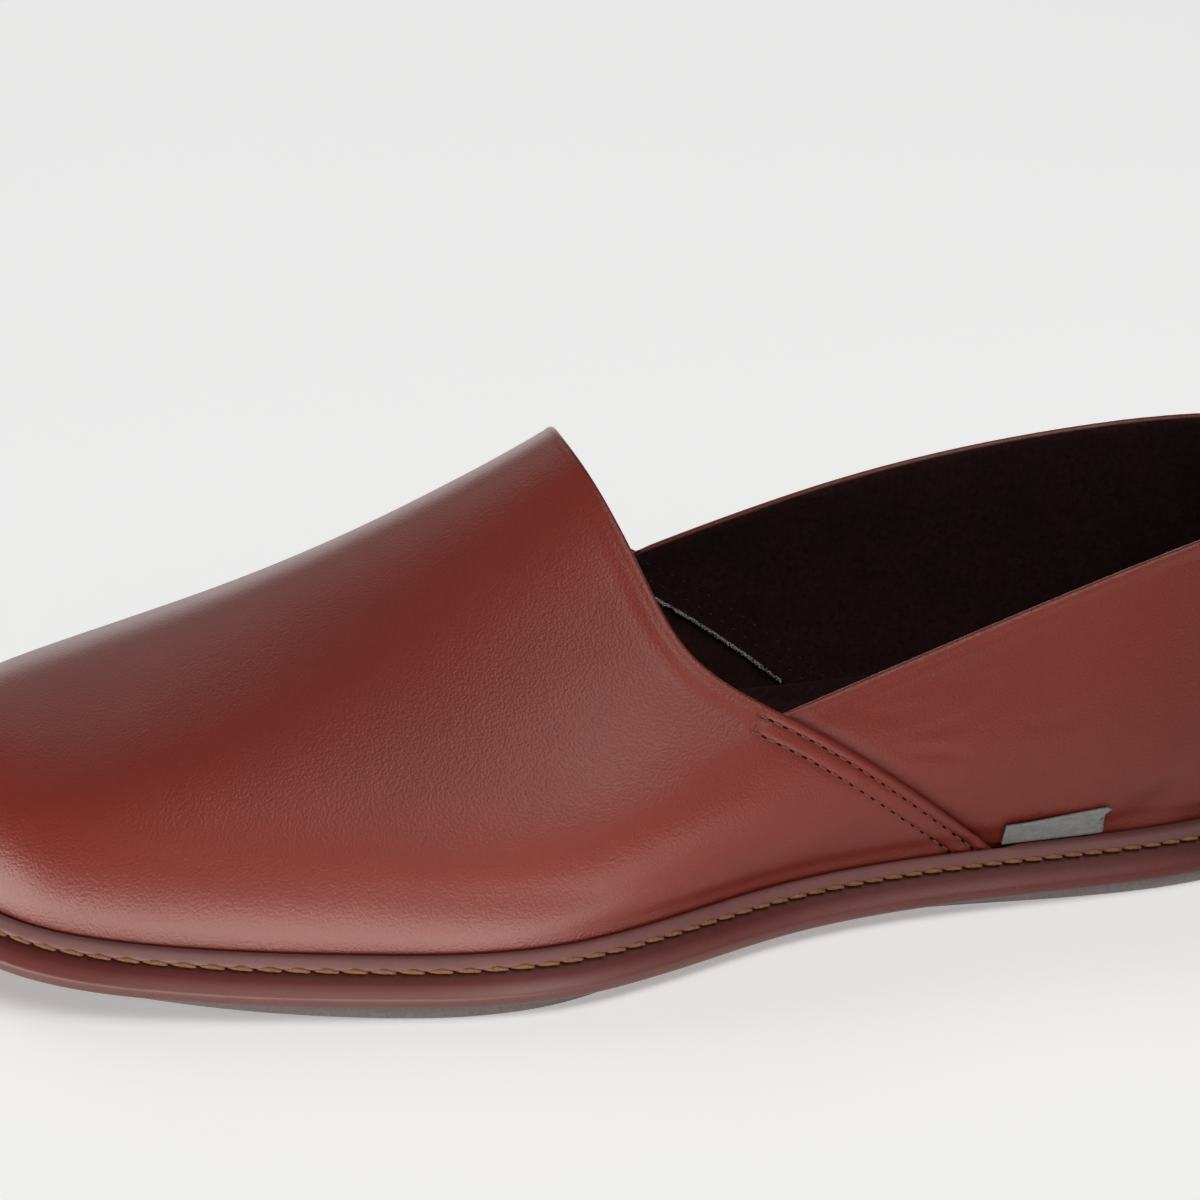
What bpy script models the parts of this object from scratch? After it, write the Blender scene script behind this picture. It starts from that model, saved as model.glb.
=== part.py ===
"""Closed-heel leather house slipper for the left foot, standing empty on its sole.

The upper is one hollow wall. Its vamp is laid over the heel quarter, so the seam between them
is a step in the wall. Under the upper are a stitched welt strip, a leather-covered platform and
a thin outsole, and an insole lies inside. The last's frame has the heel back at x = 0, +X to
the toe, +Y to the outer (lateral) side and +Z up from the floor.
"""

from collections import namedtuple

import bmesh
import bpy
import numpy as np
from mathutils import Vector

MM = 0.001

# Driving dimensions
LENGTH = 272 * MM
BALL_WIDTH = 100 * MM
INSTEP_HEIGHT = 78.6 * MM
HEEL_HEIGHT = 65 * MM
TOE_SPRING = 6.7 * MM
SPRING_START = 0.66          # share of LENGTH where the sole leaves the floor

# Layers, from the floor up
GAP = 0.3 * MM
OUTSOLE_THICKNESS = 2.2 * MM
PLATFORM_TOP = 8.1 * MM
FEATHER_HEIGHT = PLATFORM_TOP + GAP
WELT_HEIGHT = 2.1 * MM
INSOLE_THICKNESS = 3.0 * MM
INSOLE_ROUND = 0.8 * MM

# The upper's wall
WALL = 2.4 * MM
VAMP_STEP = 1.0 * MM         # how far the vamp stands proud of the quarter
OVERLAP = 8 * MM             # how far the quarter runs on behind the vamp
OVERLAP_FADE = 2 * MM
RIM_CROWN = 0.6 * MM
FEATHER_INSET = 5.3 * MM     # from the platform's widest edge in to the wall's foot

# How finely the faceted pieces are divided
SOLE_COLUMNS = 96
THROAT_COLUMNS = 41
QUARTER_COLUMNS = 29
WALL_ROWS = 12
WELD = 0.002 * MM

# Sole outline: half widths on each side, as shares of BALL_WIDTH, at shares of LENGTH
SoleRow = namedtuple("SoleRow", "along lateral medial")
SOLE_ROWS = (
    SoleRow(0.033, 0.205, 0.190),
    SoleRow(0.147, 0.397, 0.335),
    SoleRow(0.312, 0.418, 0.350),
    SoleRow(0.460, 0.450, 0.365),
    SoleRow(0.607, 0.564, 0.420),
    SoleRow(0.735, 0.516, 0.465),
    SoleRow(0.853, 0.428, 0.450),
    SoleRow(0.930, 0.320, 0.375),
    SoleRow(0.978, 0.120, 0.255),
)
HEEL_CENTRE = 0.02
TIP_CENTRE = -0.10

# Rims of the opening: shares of LENGTH, BALL_WIDTH and of the rim's own driving height
RimRow = namedtuple("RimRow", "along across height")
JOIN_LATERAL = RimRow(0.461, 0.404, 0.638)
JOIN_MEDIAL = RimRow(0.474, -0.378, 0.629)
COLLAR_ROWS = (
    RimRow(0.338, 0.340, 0.747),
    RimRow(0.184, 0.313, 0.915),
    RimRow(0.062, 0.210, 0.994),
    RimRow(0.018, 0.010, 1.000),
    RimRow(0.062, -0.198, 0.962),
    RimRow(0.184, -0.300, 0.911),
    RimRow(0.338, -0.331, 0.811),
)
COLLAR_MIDDLE = 4            # the back of the heel, counted from the lateral join
THROAT_ROWS = (
    RimRow(0.512, 0.350, 0.650),
    RimRow(0.534, 0.250, 0.799),
    RimRow(0.552, 0.120, 0.951),
    RimRow(0.560, -0.005, 1.000),
    RimRow(0.552, -0.130, 0.951),
    RimRow(0.534, -0.255, 0.799),
    RimRow(0.514, -0.340, 0.650),
)
THROAT_MIDDLE = 4            # the peak of the throat, counted the same way
SEAM_FOOT_LATERAL = 0.314
SEAM_FOOT_MEDIAL = 0.324

# Wall curves from foot to edge. Lean, rise, swell and drop are shares of the curve's own height:
# how it leans out and rises from the foot, and how far outside and below the edge it comes in.
# Slant and reach are shares of its travel along the sole and across it.
WallRow = namedtuple("WallRow", "lean rise slant reach swell drop")
WALL_SHAPES = {
    "back": WallRow(0.09, 0.35, 0.00, 0.20, 0.07, 0.32),
    "side": WallRow(0.10, 0.31, 0.33, 0.33, 0.06, 0.27),
    "seam": WallRow(0.15, 0.37, 0.31, 0.36, 0.09, 0.25),
    "seam foot": WallRow(0.15, 0.40, 0.25, 0.33, 0.05, 0.30),
    "ball": WallRow(0.18, 0.50, 0.15, 0.40, 0.05, 0.24),
    "toe side": WallRow(0.08, 0.48, 0.00, 0.55, 0.02, 0.57),
    "tip": WallRow(0.058, 0.60, 0.00, 0.76, 0.00, 0.74),
}
QUARTER_STATIONS = {0.0: "seam", 0.25: "side", 0.5: "back", 0.75: "side", 1.0: "seam"}
VAMP_STATIONS = {
    0.0: "seam foot",
    0.2: "ball",
    0.37: "toe side",
    0.5: "tip",
    0.63: "toe side",
    0.8: "ball",
    1.0: "seam foot",
}

# Edge profiles: offset out from the sole outline, and height above the floor
EdgeRow = namedtuple("EdgeRow", "offset height")
PLATFORM_PROFILE = (
    EdgeRow(-2.2 * MM, OUTSOLE_THICKNESS + GAP),
    EdgeRow(-1.0 * MM, 2.9 * MM),
    EdgeRow(-0.2 * MM, 3.7 * MM),
    EdgeRow(0.0 * MM, 4.5 * MM),
    EdgeRow(-0.4 * MM, 5.4 * MM),
    EdgeRow(-1.1 * MM, 6.5 * MM),
    EdgeRow(-1.7 * MM, 7.4 * MM),
    EdgeRow(-2.0 * MM, PLATFORM_TOP),
)
INSOLE_PROFILE = (
    EdgeRow(-9.4 * MM, FEATHER_HEIGHT),
    EdgeRow(-9.4 * MM, FEATHER_HEIGHT + INSOLE_THICKNESS - INSOLE_ROUND),
    EdgeRow(-10.4 * MM, FEATHER_HEIGHT + INSOLE_THICKNESS),
)
WELT_LIP = EdgeRow(-2.0 * MM, FEATHER_HEIGHT)
WELT_BROW = EdgeRow(-3.4 * MM, FEATHER_HEIGHT + 1.8 * MM)
SPINE_INSET = 14 * MM        # where the cross ribs of a sole layer's faces meet its end

# Outsole: cut back from the platform's edge, most at the waist and the toe
CutRow = namedtuple("CutRow", "along inset")
OUTSOLE_CUT = (
    CutRow(0.00, 3.8 * MM),
    CutRow(0.30, 3.8 * MM),
    CutRow(0.43, 7.5 * MM),
    CutRow(0.52, 7.5 * MM),
    CutRow(0.62, 3.8 * MM),
    CutRow(0.80, 3.8 * MM),
    CutRow(0.90, 7.0 * MM),
    CutRow(1.00, 9.0 * MM),
)
OUTSOLE_BEVEL = 0.5 * MM

# Side label: a blank tab on the lateral quarter, its corners as shares of the quarter's surface
TabCorner = namedtuple("TabCorner", "share climb")
TAB_LOW_FRONT = TabCorner(0.012, 0.064)
TAB_LOW_BACK = TabCorner(0.101, 0.064)
TAB_TOP_FRONT = TabCorner(0.0325, 0.172)
TAB_TOP_BACK = TabCorner(0.126, 0.187)
TAB_THICKNESS = 0.6 * MM
TAB_COLUMNS = 9
TAB_ROWS = 4

# Finishes: linear base colour and roughness
Finish = namedtuple("Finish", "colour roughness")
FINISHES = {
    "upper": Finish((0.180, 0.036, 0.025), 0.45),
    "welt": Finish((0.200, 0.075, 0.062), 0.60),
    "midsole": Finish((0.090, 0.026, 0.022), 0.45),
    "insole": Finish((0.022, 0.008, 0.007), 0.95),
    "outsole": Finish((0.220, 0.195, 0.185), 0.85),
    "label_tab": Finish((0.210, 0.205, 0.190), 0.90),
}

UP = np.array([0.0, 0.0, 1.0])
FINE = np.linspace(0, 1, 301)
TRACK_POINTS = 2401
OUTLINE_STEP = 0.2 * MM      # steps over which slopes are measured, along the outline and a panel
STEP = 0.002
CORNER = 0.03                # a panel's normals are read this far in from its seams
CHORD_POWER = 0.75           # spaces a curve's knots between even and by length
SHARP_ANGLE = np.radians(40)


def spline(points, knots=None, closed=False):
    """A smooth cubic curve through the points, and its knots; chord lengths set the knots."""
    points = np.asarray(points, float)
    if closed:
        points = np.vstack([points, points[:1]])
    if knots is None:
        chords = np.linalg.norm(np.diff(points, axis=0), axis=1) ** CHORD_POWER
        knots = np.concatenate([[0.0], np.cumsum(chords)]) / chords.sum()
    knots = np.asarray(knots, float)
    gaps = np.diff(knots)
    rises = np.diff(points, axis=0) / gaps[:, None]
    last = len(points) - 1
    weights = np.zeros((last + 1, last + 1))
    sums = np.zeros_like(points)
    for i in range(1, last):
        weights[i, i - 1:i + 2] = gaps[i], 2 * (gaps[i] + gaps[i - 1]), gaps[i - 1]
        sums[i] = 3 * (gaps[i - 1] * rises[i] + gaps[i] * rises[i - 1])
    if closed:
        weights[0, [0, 1, last - 1]] = 2 * (gaps[0] + gaps[-1]), gaps[-1], gaps[0]
        sums[0] = 3 * (gaps[-1] * rises[0] + gaps[0] * rises[-1])
        weights[last, [0, last]] = 1, -1
    else:
        weights[0, :2] = 2, 1
        sums[0] = 3 * rises[0]
        weights[last, -2:] = 1, 2
        sums[last] = 3 * rises[-1]
    slopes = np.linalg.solve(weights, sums)

    def at(place):
        place = np.clip(place, knots[0], knots[-1])
        i = np.clip(np.searchsorted(knots, place, "right") - 1, 0, last - 1)
        gap = gaps[i][:, None]
        t = ((place - knots[i]) / gaps[i])[:, None]
        return (
            (1 + 2 * t) * (1 - t) ** 2 * points[i]
            + t * (1 - t) ** 2 * gap * slopes[i]
            + t ** 2 * (3 - 2 * t) * points[i + 1]
            + t ** 2 * (t - 1) * gap * slopes[i + 1]
        )

    return at, knots


class Track:
    """A curve measured along its own length, so that points can be spaced evenly on it."""

    def __init__(self, points):
        self.points = points
        steps = np.linalg.norm(np.diff(points, axis=0), axis=1)
        self.run = np.concatenate([[0.0], np.cumsum(steps)])
        self.length = self.run[-1]

    @classmethod
    def through(cls, points, closed=False):
        """A smooth track through a few points, and the run at which it passes each of them."""
        curve, knots = spline(points, closed=closed)
        places = np.linspace(0, 1, TRACK_POINTS)
        track = cls(curve(places))
        return track, np.interp(knots, places, track.run)

    def at(self, run):
        columns = [np.interp(run, self.run, column) for column in self.points.T]
        return np.stack(columns, axis=-1)


def sole_outline():
    lateral = [(row.along * LENGTH, row.lateral * BALL_WIDTH) for row in SOLE_ROWS]
    medial = [(row.along * LENGTH, -row.medial * BALL_WIDTH) for row in reversed(SOLE_ROWS)]
    heel = [(0.0, HEEL_CENTRE * BALL_WIDTH)]
    tip = [(LENGTH, TIP_CENTRE * BALL_WIDTH)]
    track, runs = Track.through(heel + lateral + tip + medial, closed=True)
    return track, runs[len(heel + lateral)]


OUTLINE, TIP_RUN = sole_outline()


def outward(run):
    """The outline's unit normal in plan; the outline runs heel, lateral side, toe, medial side."""
    ahead = OUTLINE.at((run + OUTLINE_STEP) % OUTLINE.length)
    behind = OUTLINE.at((run - OUTLINE_STEP) % OUTLINE.length)
    travel = ahead - behind
    travel = travel / np.linalg.norm(travel, axis=-1, keepdims=True)
    return np.stack([-travel[..., 1], travel[..., 0], np.zeros_like(run)], axis=-1)


def toe_lift(along):
    start = SPRING_START * LENGTH
    return TOE_SPRING * (np.clip(along - start, 0, None) / (LENGTH - start)) ** 2


def plan_loop(run, offset, height):
    """Points beside the outline at an offset, lifted with the toe spring."""
    flat = np.concatenate([OUTLINE.at(run), np.zeros(run.shape + (1,))], axis=-1)
    points = flat + outward(run) * np.reshape(offset, (-1, 1))
    points[:, 2] = height + toe_lift(points[:, 0])
    return points


def run_at(along, side):
    """Distance round the outline to a share of the length, on the lateral or medial side."""
    half = FINE * TIP_RUN
    if side == "medial":
        half = OUTLINE.length + FINE * (TIP_RUN - OUTLINE.length)
    return float(np.interp(along * LENGTH, OUTLINE.at(half)[:, 0], half))


def rim_track(rows, height, middle):
    """The opening's edge from the lateral join to the medial one, and the run to its middle row."""
    scale = np.array([LENGTH, BALL_WIDTH, height])
    join = np.array([LENGTH, BALL_WIDTH, HEEL_HEIGHT])
    points = [np.array(row) * scale for row in rows]
    points = [np.array(JOIN_LATERAL) * join] + points + [np.array(JOIN_MEDIAL) * join]
    track, runs = Track.through(points)
    return track, runs[middle]


class Panel:
    """One leather panel of the upper, from the lateral side (share 0) to the medial side (share 1)."""

    def __init__(self, edge, edge_middle, foot_middle, stations, facing):
        self.edge = edge
        self.edge_middle = edge_middle
        self.foot_middle = foot_middle
        rows = [WALL_SHAPES[name] for name in stations.values()]
        self.shape, _ = spline(rows, knots=list(stations))
        self.facing = facing

    def foot_run(self, share):
        near, far = self.foot_middle
        lateral = run_at(SEAM_FOOT_LATERAL, "lateral")
        medial = run_at(SEAM_FOOT_MEDIAL, "medial")
        first = lateral + (near - lateral) * 2 * share
        second = far + (medial - far) * (2 * share - 1)
        return np.where(share <= 0.5, first, second)

    def edge_run(self, share):
        first = self.edge_middle * 2 * share
        second = self.edge_middle + (self.edge.length - self.edge_middle) * (2 * share - 1)
        return np.where(share <= 0.5, first, second)

    def share_at(self, edge_run):
        first = edge_run / self.edge_middle / 2
        second = 0.5 + (edge_run - self.edge_middle) / (self.edge.length - self.edge_middle) / 2
        return np.where(edge_run <= self.edge_middle, first, second)

    def controls(self, share):
        """The four control points of the wall's curve at each share."""
        run = self.foot_run(share)
        foot = plan_loop(run, -FEATHER_INSET, FEATHER_HEIGHT)
        edge = self.edge.at(self.edge_run(share))
        height = (edge - foot)[:, 2:]
        out = outward(run)
        aside = np.cross(out, UP)
        lean, rise, slant, reach, swell, drop = self.shape(share).T[:, :, None]
        sideways = aside * np.sum((edge - foot) * aside, axis=1, keepdims=True)
        inward = (foot - edge) * (1 - UP)
        leaving = foot + (out * lean + UP * rise) * height + sideways * slant
        coming = edge + inward * reach + (out * swell - UP * drop) * height
        return foot, leaving, coming, edge

    def surface(self, share, climb):
        """Points of the panel, one row for each climb from foot (0) to edge (1)."""
        foot, leaving, coming, edge = self.controls(np.atleast_1d(share))
        t = np.reshape(climb, (-1, 1, 1))
        low = (1 - t) ** 3 * foot + 3 * (1 - t) ** 2 * t * leaving
        high = 3 * (1 - t) * t ** 2 * coming + t ** 3 * edge
        return low + high

    def normals(self, share, climb):
        inside = np.clip(np.atleast_1d(share), CORNER, 1 - CORNER)
        climb = np.atleast_1d(climb)
        below = np.clip(climb, STEP, 1 - STEP)
        across = self.surface(inside + STEP, below) - self.surface(inside - STEP, below)
        upward = self.surface(inside, below + STEP) - self.surface(inside, below - STEP)
        normal = np.cross(upward, across) * self.facing
        normal[climb == 0, :, 2] = 0
        return normal / np.linalg.norm(normal, axis=-1, keepdims=True)

    def skin(self, share, climb, depth):
        """The panel's surface sunk by a depth below the vamp's face."""
        depth = np.broadcast_to(depth, (np.size(climb), np.size(share)))
        return self.surface(share, climb) - self.normals(share, climb) * depth[:, :, None]


def quarter_panel():
    collar, middle = rim_track(COLLAR_ROWS, HEEL_HEIGHT, COLLAR_MIDDLE)
    return Panel(collar, middle, (0.0, OUTLINE.length), QUARTER_STATIONS, -1)


QUARTER = quarter_panel()
LATERAL, MEDIAL = 0.0, 1.0   # the quarter's shares at its two seams


def seam_line(side, climb, depth=0.0):
    return QUARTER.skin(np.array([side]), climb, depth)[:, 0]


def vamp_panel():
    """The vamp's edge runs up the lateral seam, round the throat and down the medial seam."""
    throat, middle = rim_track(THROAT_ROWS, INSTEP_HEIGHT, THROAT_MIDDLE)
    up = seam_line(LATERAL, FINE)
    down = seam_line(MEDIAL, FINE[::-1])
    edge = Track(np.concatenate([up[:-1], throat.points, down[1:]]))
    return Panel(edge, Track(up).length + middle, (TIP_RUN, TIP_RUN), VAMP_STATIONS, 1)


VAMP = vamp_panel()
CLIMBS = np.linspace(0, 1, WALL_ROWS)


def vamp_shares():
    """Vamp columns: one at each row of the quarter up both seams, and even ones round the throat."""
    up = Track(seam_line(LATERAL, FINE))
    down = Track(seam_line(MEDIAL, FINE[::-1]))
    rows_up = np.interp(CLIMBS, FINE, up.run)
    rows_down = np.interp(CLIMBS, FINE, down.run)
    rows_down = VAMP.edge.length - down.length + rows_down
    throat = np.linspace(rows_up[-1], rows_down[0], THROAT_COLUMNS)
    return VAMP.share_at(np.concatenate([rows_up[:-1], throat, rows_down[1:]]))


def lining_depth(points):
    """The wall's depth: the quarter's front edge lies behind the vamp along each seam."""
    seams = np.concatenate([seam_line(side, FINE) for side in (LATERAL, MEDIAL)])
    away = np.linalg.norm(points[:, :, None] - seams, axis=-1).min(axis=-1)
    fade = np.clip((OVERLAP + OVERLAP_FADE - away) / (2 * OVERLAP_FADE), 0, 1)
    return WALL + VAMP_STEP * fade


def crown(outer, inner, below):
    """The rounded top of the wall between its two faces."""
    rising = outer - below
    rising = rising / np.linalg.norm(rising, axis=1, keepdims=True)
    return (outer + inner) / 2 + rising * RIM_CROWN


def quarter_grid():
    """Closed wall sections round the heel: up the face, over the rim and down the lining."""
    shares = np.linspace(LATERAL, MEDIAL, QUARTER_COLUMNS)
    outer = QUARTER.skin(shares, CLIMBS, VAMP_STEP)
    inner = QUARTER.skin(shares, CLIMBS, VAMP_STEP + WALL)
    top = crown(outer[-1], inner[-1], outer[-2])
    return np.concatenate([outer, top[None], inner[::-1], outer[:1]]).transpose(1, 0, 2)


def vamp_grids():
    """The vamp's face with the step at its edge, its lining, and its rim round the throat."""
    shares = vamp_shares()
    face = VAMP.surface(shares, CLIMBS)
    ledge = VAMP.skin(shares, CLIMBS, VAMP_STEP)
    lining = VAMP.skin(shares, CLIMBS, lining_depth(face))
    seam_columns = (
        (slice(0, WALL_ROWS), LATERAL, CLIMBS),
        (slice(-WALL_ROWS, None), MEDIAL, CLIMBS[::-1]),
    )
    for columns, side, rows in seam_columns:
        face[-1, columns] = seam_line(side, rows)
        ledge[-1, columns] = seam_line(side, rows, VAMP_STEP)
        lining[-1, columns] = seam_line(side, rows, VAMP_STEP + WALL)
    for layer in (face, ledge, lining):
        layer[:, [0, -1]] = layer[-1, [0, -1]]
    throat = slice(WALL_ROWS - 1, len(shares) - WALL_ROWS + 1)
    top = crown(ledge[-1, throat], lining[-1, throat], ledge[-2, throat])
    top[[0, -1]] = quarter_grid()[[0, -1], WALL_ROWS]
    outside = np.concatenate([ledge[:1], face, ledge[-1:]])
    inside = np.concatenate([lining[::-1], ledge[:1]])
    rim = np.stack([ledge[-1, throat], top, lining[-1, throat]])
    return [grid.transpose(1, 0, 2) for grid in (outside, inside, rim)]


def welt_sections():
    """A strip that leans on the foot of the wall, a gap away from it."""
    sections = []
    heelward = np.linspace(MEDIAL, LATERAL, QUARTER_COLUMNS)
    for panel, shares in ((VAMP, vamp_shares()), (QUARTER, heelward)):
        run = panel.foot_run(shares)
        under_step = (panel is QUARTER) & (shares > 0) & (shares < 1)
        foot = GAP - FEATHER_INSET - np.where(under_step, VAMP_STEP, 0.0)
        lean, rise = panel.shape(shares).T[:2]
        lip = plan_loop(run, WELT_LIP.offset, WELT_LIP.height)
        brow = plan_loop(run, WELT_BROW.offset, WELT_BROW.height)
        top = plan_loop(run, foot + WELT_HEIGHT * lean / rise, FEATHER_HEIGHT + WELT_HEIGHT)
        bottom = plan_loop(run, foot, FEATHER_HEIGHT)
        sections.append(np.stack([lip, brow, top, bottom, lip], axis=1))
    ring = np.concatenate(sections)
    return np.concatenate([ring, ring[:1]])


def sole_runs():
    """Places round the outline, evenly spaced on each side from heel back to toe tip."""
    half = SOLE_COLUMNS // 2
    lateral = np.linspace(0, TIP_RUN, half, endpoint=False)
    medial = np.linspace(TIP_RUN, OUTLINE.length, half, endpoint=False)
    return np.concatenate([lateral, medial])


def spine(run, height):
    """The middle line of a sole layer, where the columns of both sides meet."""
    inner = plan_loop(run, -SPINE_INSET, height)
    mirrored = np.roll(inner[::-1], 1, axis=0)
    return (inner + mirrored) / 2


def layer_columns(profile):
    """Columns of a sole layer: from the spine out under it, up its edge and back in over it."""
    run = sole_runs()
    rings = [plan_loop(run, row.offset, row.height) for row in profile]
    rings = [spine(run, profile[0].height)] + rings + [spine(run, profile[-1].height)]
    columns = np.stack(rings, axis=1)
    return np.concatenate([columns, columns[:1]], axis=0)


def outsole_profile():
    """The outsole's edge: the inset at each column, with a small bevel at the floor."""
    table, _ = spline([(row.inset,) for row in OUTSOLE_CUT], knots=[row.along for row in OUTSOLE_CUT])
    along = OUTLINE.at(sole_runs())[:, 0] / LENGTH
    inset = table(along)[:, 0]
    return (
        EdgeRow(-inset - OUTSOLE_BEVEL, 0.0),
        EdgeRow(-inset, OUTSOLE_BEVEL),
        EdgeRow(-inset, OUTSOLE_THICKNESS),
    )


def tab_patch():
    """The label's back face: a patch of the quarter, a gap away from it."""
    sides = np.linspace(0, 1, TAB_COLUMNS)
    rows = []
    for lift in np.linspace(0, 1, TAB_ROWS):
        front = np.array(TAB_LOW_FRONT) * (1 - lift) + np.array(TAB_TOP_FRONT) * lift
        back = np.array(TAB_LOW_BACK) * (1 - lift) + np.array(TAB_TOP_BACK) * lift
        places = [front * (1 - side) + back * side for side in sides]
        depth = VAMP_STEP - GAP
        rows.append([QUARTER.skin(share, climb, depth)[0, 0] for share, climb in places])
    return np.array(rows).transpose(1, 0, 2)


def bent_grid(bm, columns):
    """A grid bent to the given columns of points."""
    across, along = len(columns) - 1, len(columns[0]) - 1
    grid = bmesh.ops.create_grid(bm, x_segments=across, y_segments=along, size=1.0)
    for vert in grid["verts"]:
        column = round((vert.co.x + 1) / 2 * across)
        row = round((vert.co.y + 1) / 2 * along)
        vert.co = Vector(columns[column][row])


def welded_mesh(name, grids):
    """Grids welded where their edges meet."""
    bm = bmesh.new()
    for columns in grids:
        bent_grid(bm, columns)
    bmesh.ops.remove_doubles(bm, verts=bm.verts, dist=WELD)
    bmesh.ops.dissolve_degenerate(bm, edges=bm.edges, dist=WELD)
    bmesh.ops.recalc_face_normals(bm, faces=bm.faces)
    mesh = bpy.data.meshes.new(name)
    bm.to_mesh(mesh)
    bm.free()
    mesh.shade_smooth()
    mesh.set_sharp_from_angle(angle=SHARP_ANGLE)
    return mesh


def finish_material(name):
    material = bpy.data.materials.new(name + "_finish")
    material.use_nodes = True
    shader = material.node_tree.nodes["Principled BSDF"]
    finish = FINISHES[name]
    shader.inputs["Base Color"].default_value = finish.colour + (1.0,)
    shader.inputs["Roughness"].default_value = finish.roughness
    shader.inputs["Metallic"].default_value = 0.0
    return material


def frame_origin(collection):
    """An empty that sets the middle of the sole's bounding box on the world origin."""
    low = OUTLINE.points.min(axis=0)
    high = OUTLINE.points.max(axis=0)
    origin = bpy.data.objects.new("last_frame", None)
    origin.location = (-(low[0] + high[0]) / 2, -(low[1] + high[1]) / 2, 0.0)
    collection.objects.link(origin)
    return origin


def add_piece(name, grids, collection, origin):
    mesh = welded_mesh(name, grids)
    mesh.materials.append(finish_material(name))
    piece = bpy.data.objects.new(name, mesh)
    piece.parent = origin
    collection.objects.link(piece)
    return piece


def main():
    for old in list(bpy.data.objects):
        bpy.data.objects.remove(old, do_unlink=True)
    collection = bpy.data.collections.new("house_slipper")
    bpy.context.scene.collection.children.link(collection)
    origin = frame_origin(collection)
    add_piece("upper", vamp_grids() + [quarter_grid()], collection, origin)
    add_piece("welt", [welt_sections()], collection, origin)
    add_piece("midsole", [layer_columns(PLATFORM_PROFILE)], collection, origin)
    add_piece("outsole", [layer_columns(outsole_profile())], collection, origin)
    add_piece("insole", [layer_columns(INSOLE_PROFILE)], collection, origin)
    tab = add_piece("label_tab", [tab_patch()], collection, origin)
    body = tab.modifiers.new("Thickness", "SOLIDIFY")
    body.thickness = TAB_THICKNESS
    body.offset = 1.0
    bpy.context.view_layer.update()


main()
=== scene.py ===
import math

import bmesh
import bpy
import numpy as np
from mathutils import Matrix, Vector, noise
from mathutils.bvhtree import BVHTree
from mathutils.kdtree import KDTree


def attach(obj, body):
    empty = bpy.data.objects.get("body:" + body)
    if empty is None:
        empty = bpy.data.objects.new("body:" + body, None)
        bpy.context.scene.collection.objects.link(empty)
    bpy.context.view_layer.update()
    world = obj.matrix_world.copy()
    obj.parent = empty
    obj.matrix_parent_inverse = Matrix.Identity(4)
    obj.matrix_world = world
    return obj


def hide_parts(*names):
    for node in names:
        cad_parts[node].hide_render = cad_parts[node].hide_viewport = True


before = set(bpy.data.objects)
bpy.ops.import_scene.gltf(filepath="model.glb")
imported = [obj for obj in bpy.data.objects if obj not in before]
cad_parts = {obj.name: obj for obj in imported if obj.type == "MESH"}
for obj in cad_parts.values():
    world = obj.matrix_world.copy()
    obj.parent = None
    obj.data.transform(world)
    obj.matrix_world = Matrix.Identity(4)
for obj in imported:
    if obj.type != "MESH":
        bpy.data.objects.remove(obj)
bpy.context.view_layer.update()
mm = 0.001

# The last: outline and edges as in the solids, heel back at x = 0, toe to +X, outer side to +Y
lastShape = {
    "length": 272 * mm,
    "ballWidth": 100 * mm,
    "instep": 78.6 * mm,
    "heel": 65 * mm,
    "toeSpring": 6.7 * mm,
    "springStart": 0.66,
    "featherHeight": 8.4 * mm,
    "featherInset": 5.3 * mm,
    "heelCentre": 0.02,
    "tipCentre": -0.10,
    "soleRows": [  # along, lateral half width, medial half width
        (0.033, 0.205, 0.190), (0.147, 0.397, 0.335), (0.312, 0.418, 0.350),
        (0.460, 0.450, 0.365), (0.607, 0.564, 0.420), (0.735, 0.516, 0.465),
        (0.853, 0.428, 0.450), (0.930, 0.320, 0.375), (0.978, 0.120, 0.255),
    ],
    "joinLateral": (0.461, 0.404, 0.638),
    "joinMedial": (0.474, -0.378, 0.629),
    "collarRows": [  # along, across, share of the heel height
        (0.338, 0.340, 0.747), (0.184, 0.313, 0.915), (0.062, 0.210, 0.994),
        (0.018, 0.010, 1.000), (0.062, -0.198, 0.962), (0.184, -0.300, 0.911),
        (0.338, -0.331, 0.811),
    ],
    "throatRows": [  # along, across, share of the instep height
        (0.512, 0.350, 0.650), (0.534, 0.250, 0.799), (0.552, 0.120, 0.951),
        (0.560, -0.005, 1.000), (0.552, -0.130, 0.951), (0.534, -0.255, 0.799),
        (0.514, -0.340, 0.650),
    ],
    "rimMiddle": 4,
    "seamFoot": (0.314, 0.324),
    "wallShapes": {  # lean, rise, slant, reach, swell, drop
        "back": (0.09, 0.35, 0.00, 0.20, 0.07, 0.32),
        "side": (0.10, 0.31, 0.33, 0.33, 0.06, 0.27),
        "seam": (0.15, 0.37, 0.31, 0.36, 0.09, 0.25),
        "seamFoot": (0.15, 0.40, 0.25, 0.33, 0.05, 0.30),
        "ball": (0.13, 0.50, 0.15, 0.40, 0.075, 0.24),
        "toeSide": (0.045, 0.48, 0.00, 0.55, 0.03, 0.57),
        "tip": (0.040, 0.60, 0.00, 0.76, 0.00, 0.74),
    },
    "quarterStations": {0.0: "seam", 0.25: "side", 0.5: "back", 0.75: "side", 1.0: "seam"},
    "vampStations": {0.0: "seamFoot", 0.2: "ball", 0.37: "toeSide", 0.5: "tip",
                     0.63: "toeSide", 0.8: "ball", 1.0: "seamFoot"},
}
shoeLength, ballWidth = lastShape["length"], lastShape["ballWidth"]
fairing = {  # smooths the waist of the vamp
    "reach": (0.030, 0.15),  # in share and climb
    "steps": (-1.7, -0.85, 0.0, 0.85, 1.7),  # in reaches
    "sides": (0.09, 0.17, 0.32, 0.42),  # share from the nearer seam: fades in, fades out
    "climbs": (0.02, 0.30, 0.72, 0.97),
}
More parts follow.
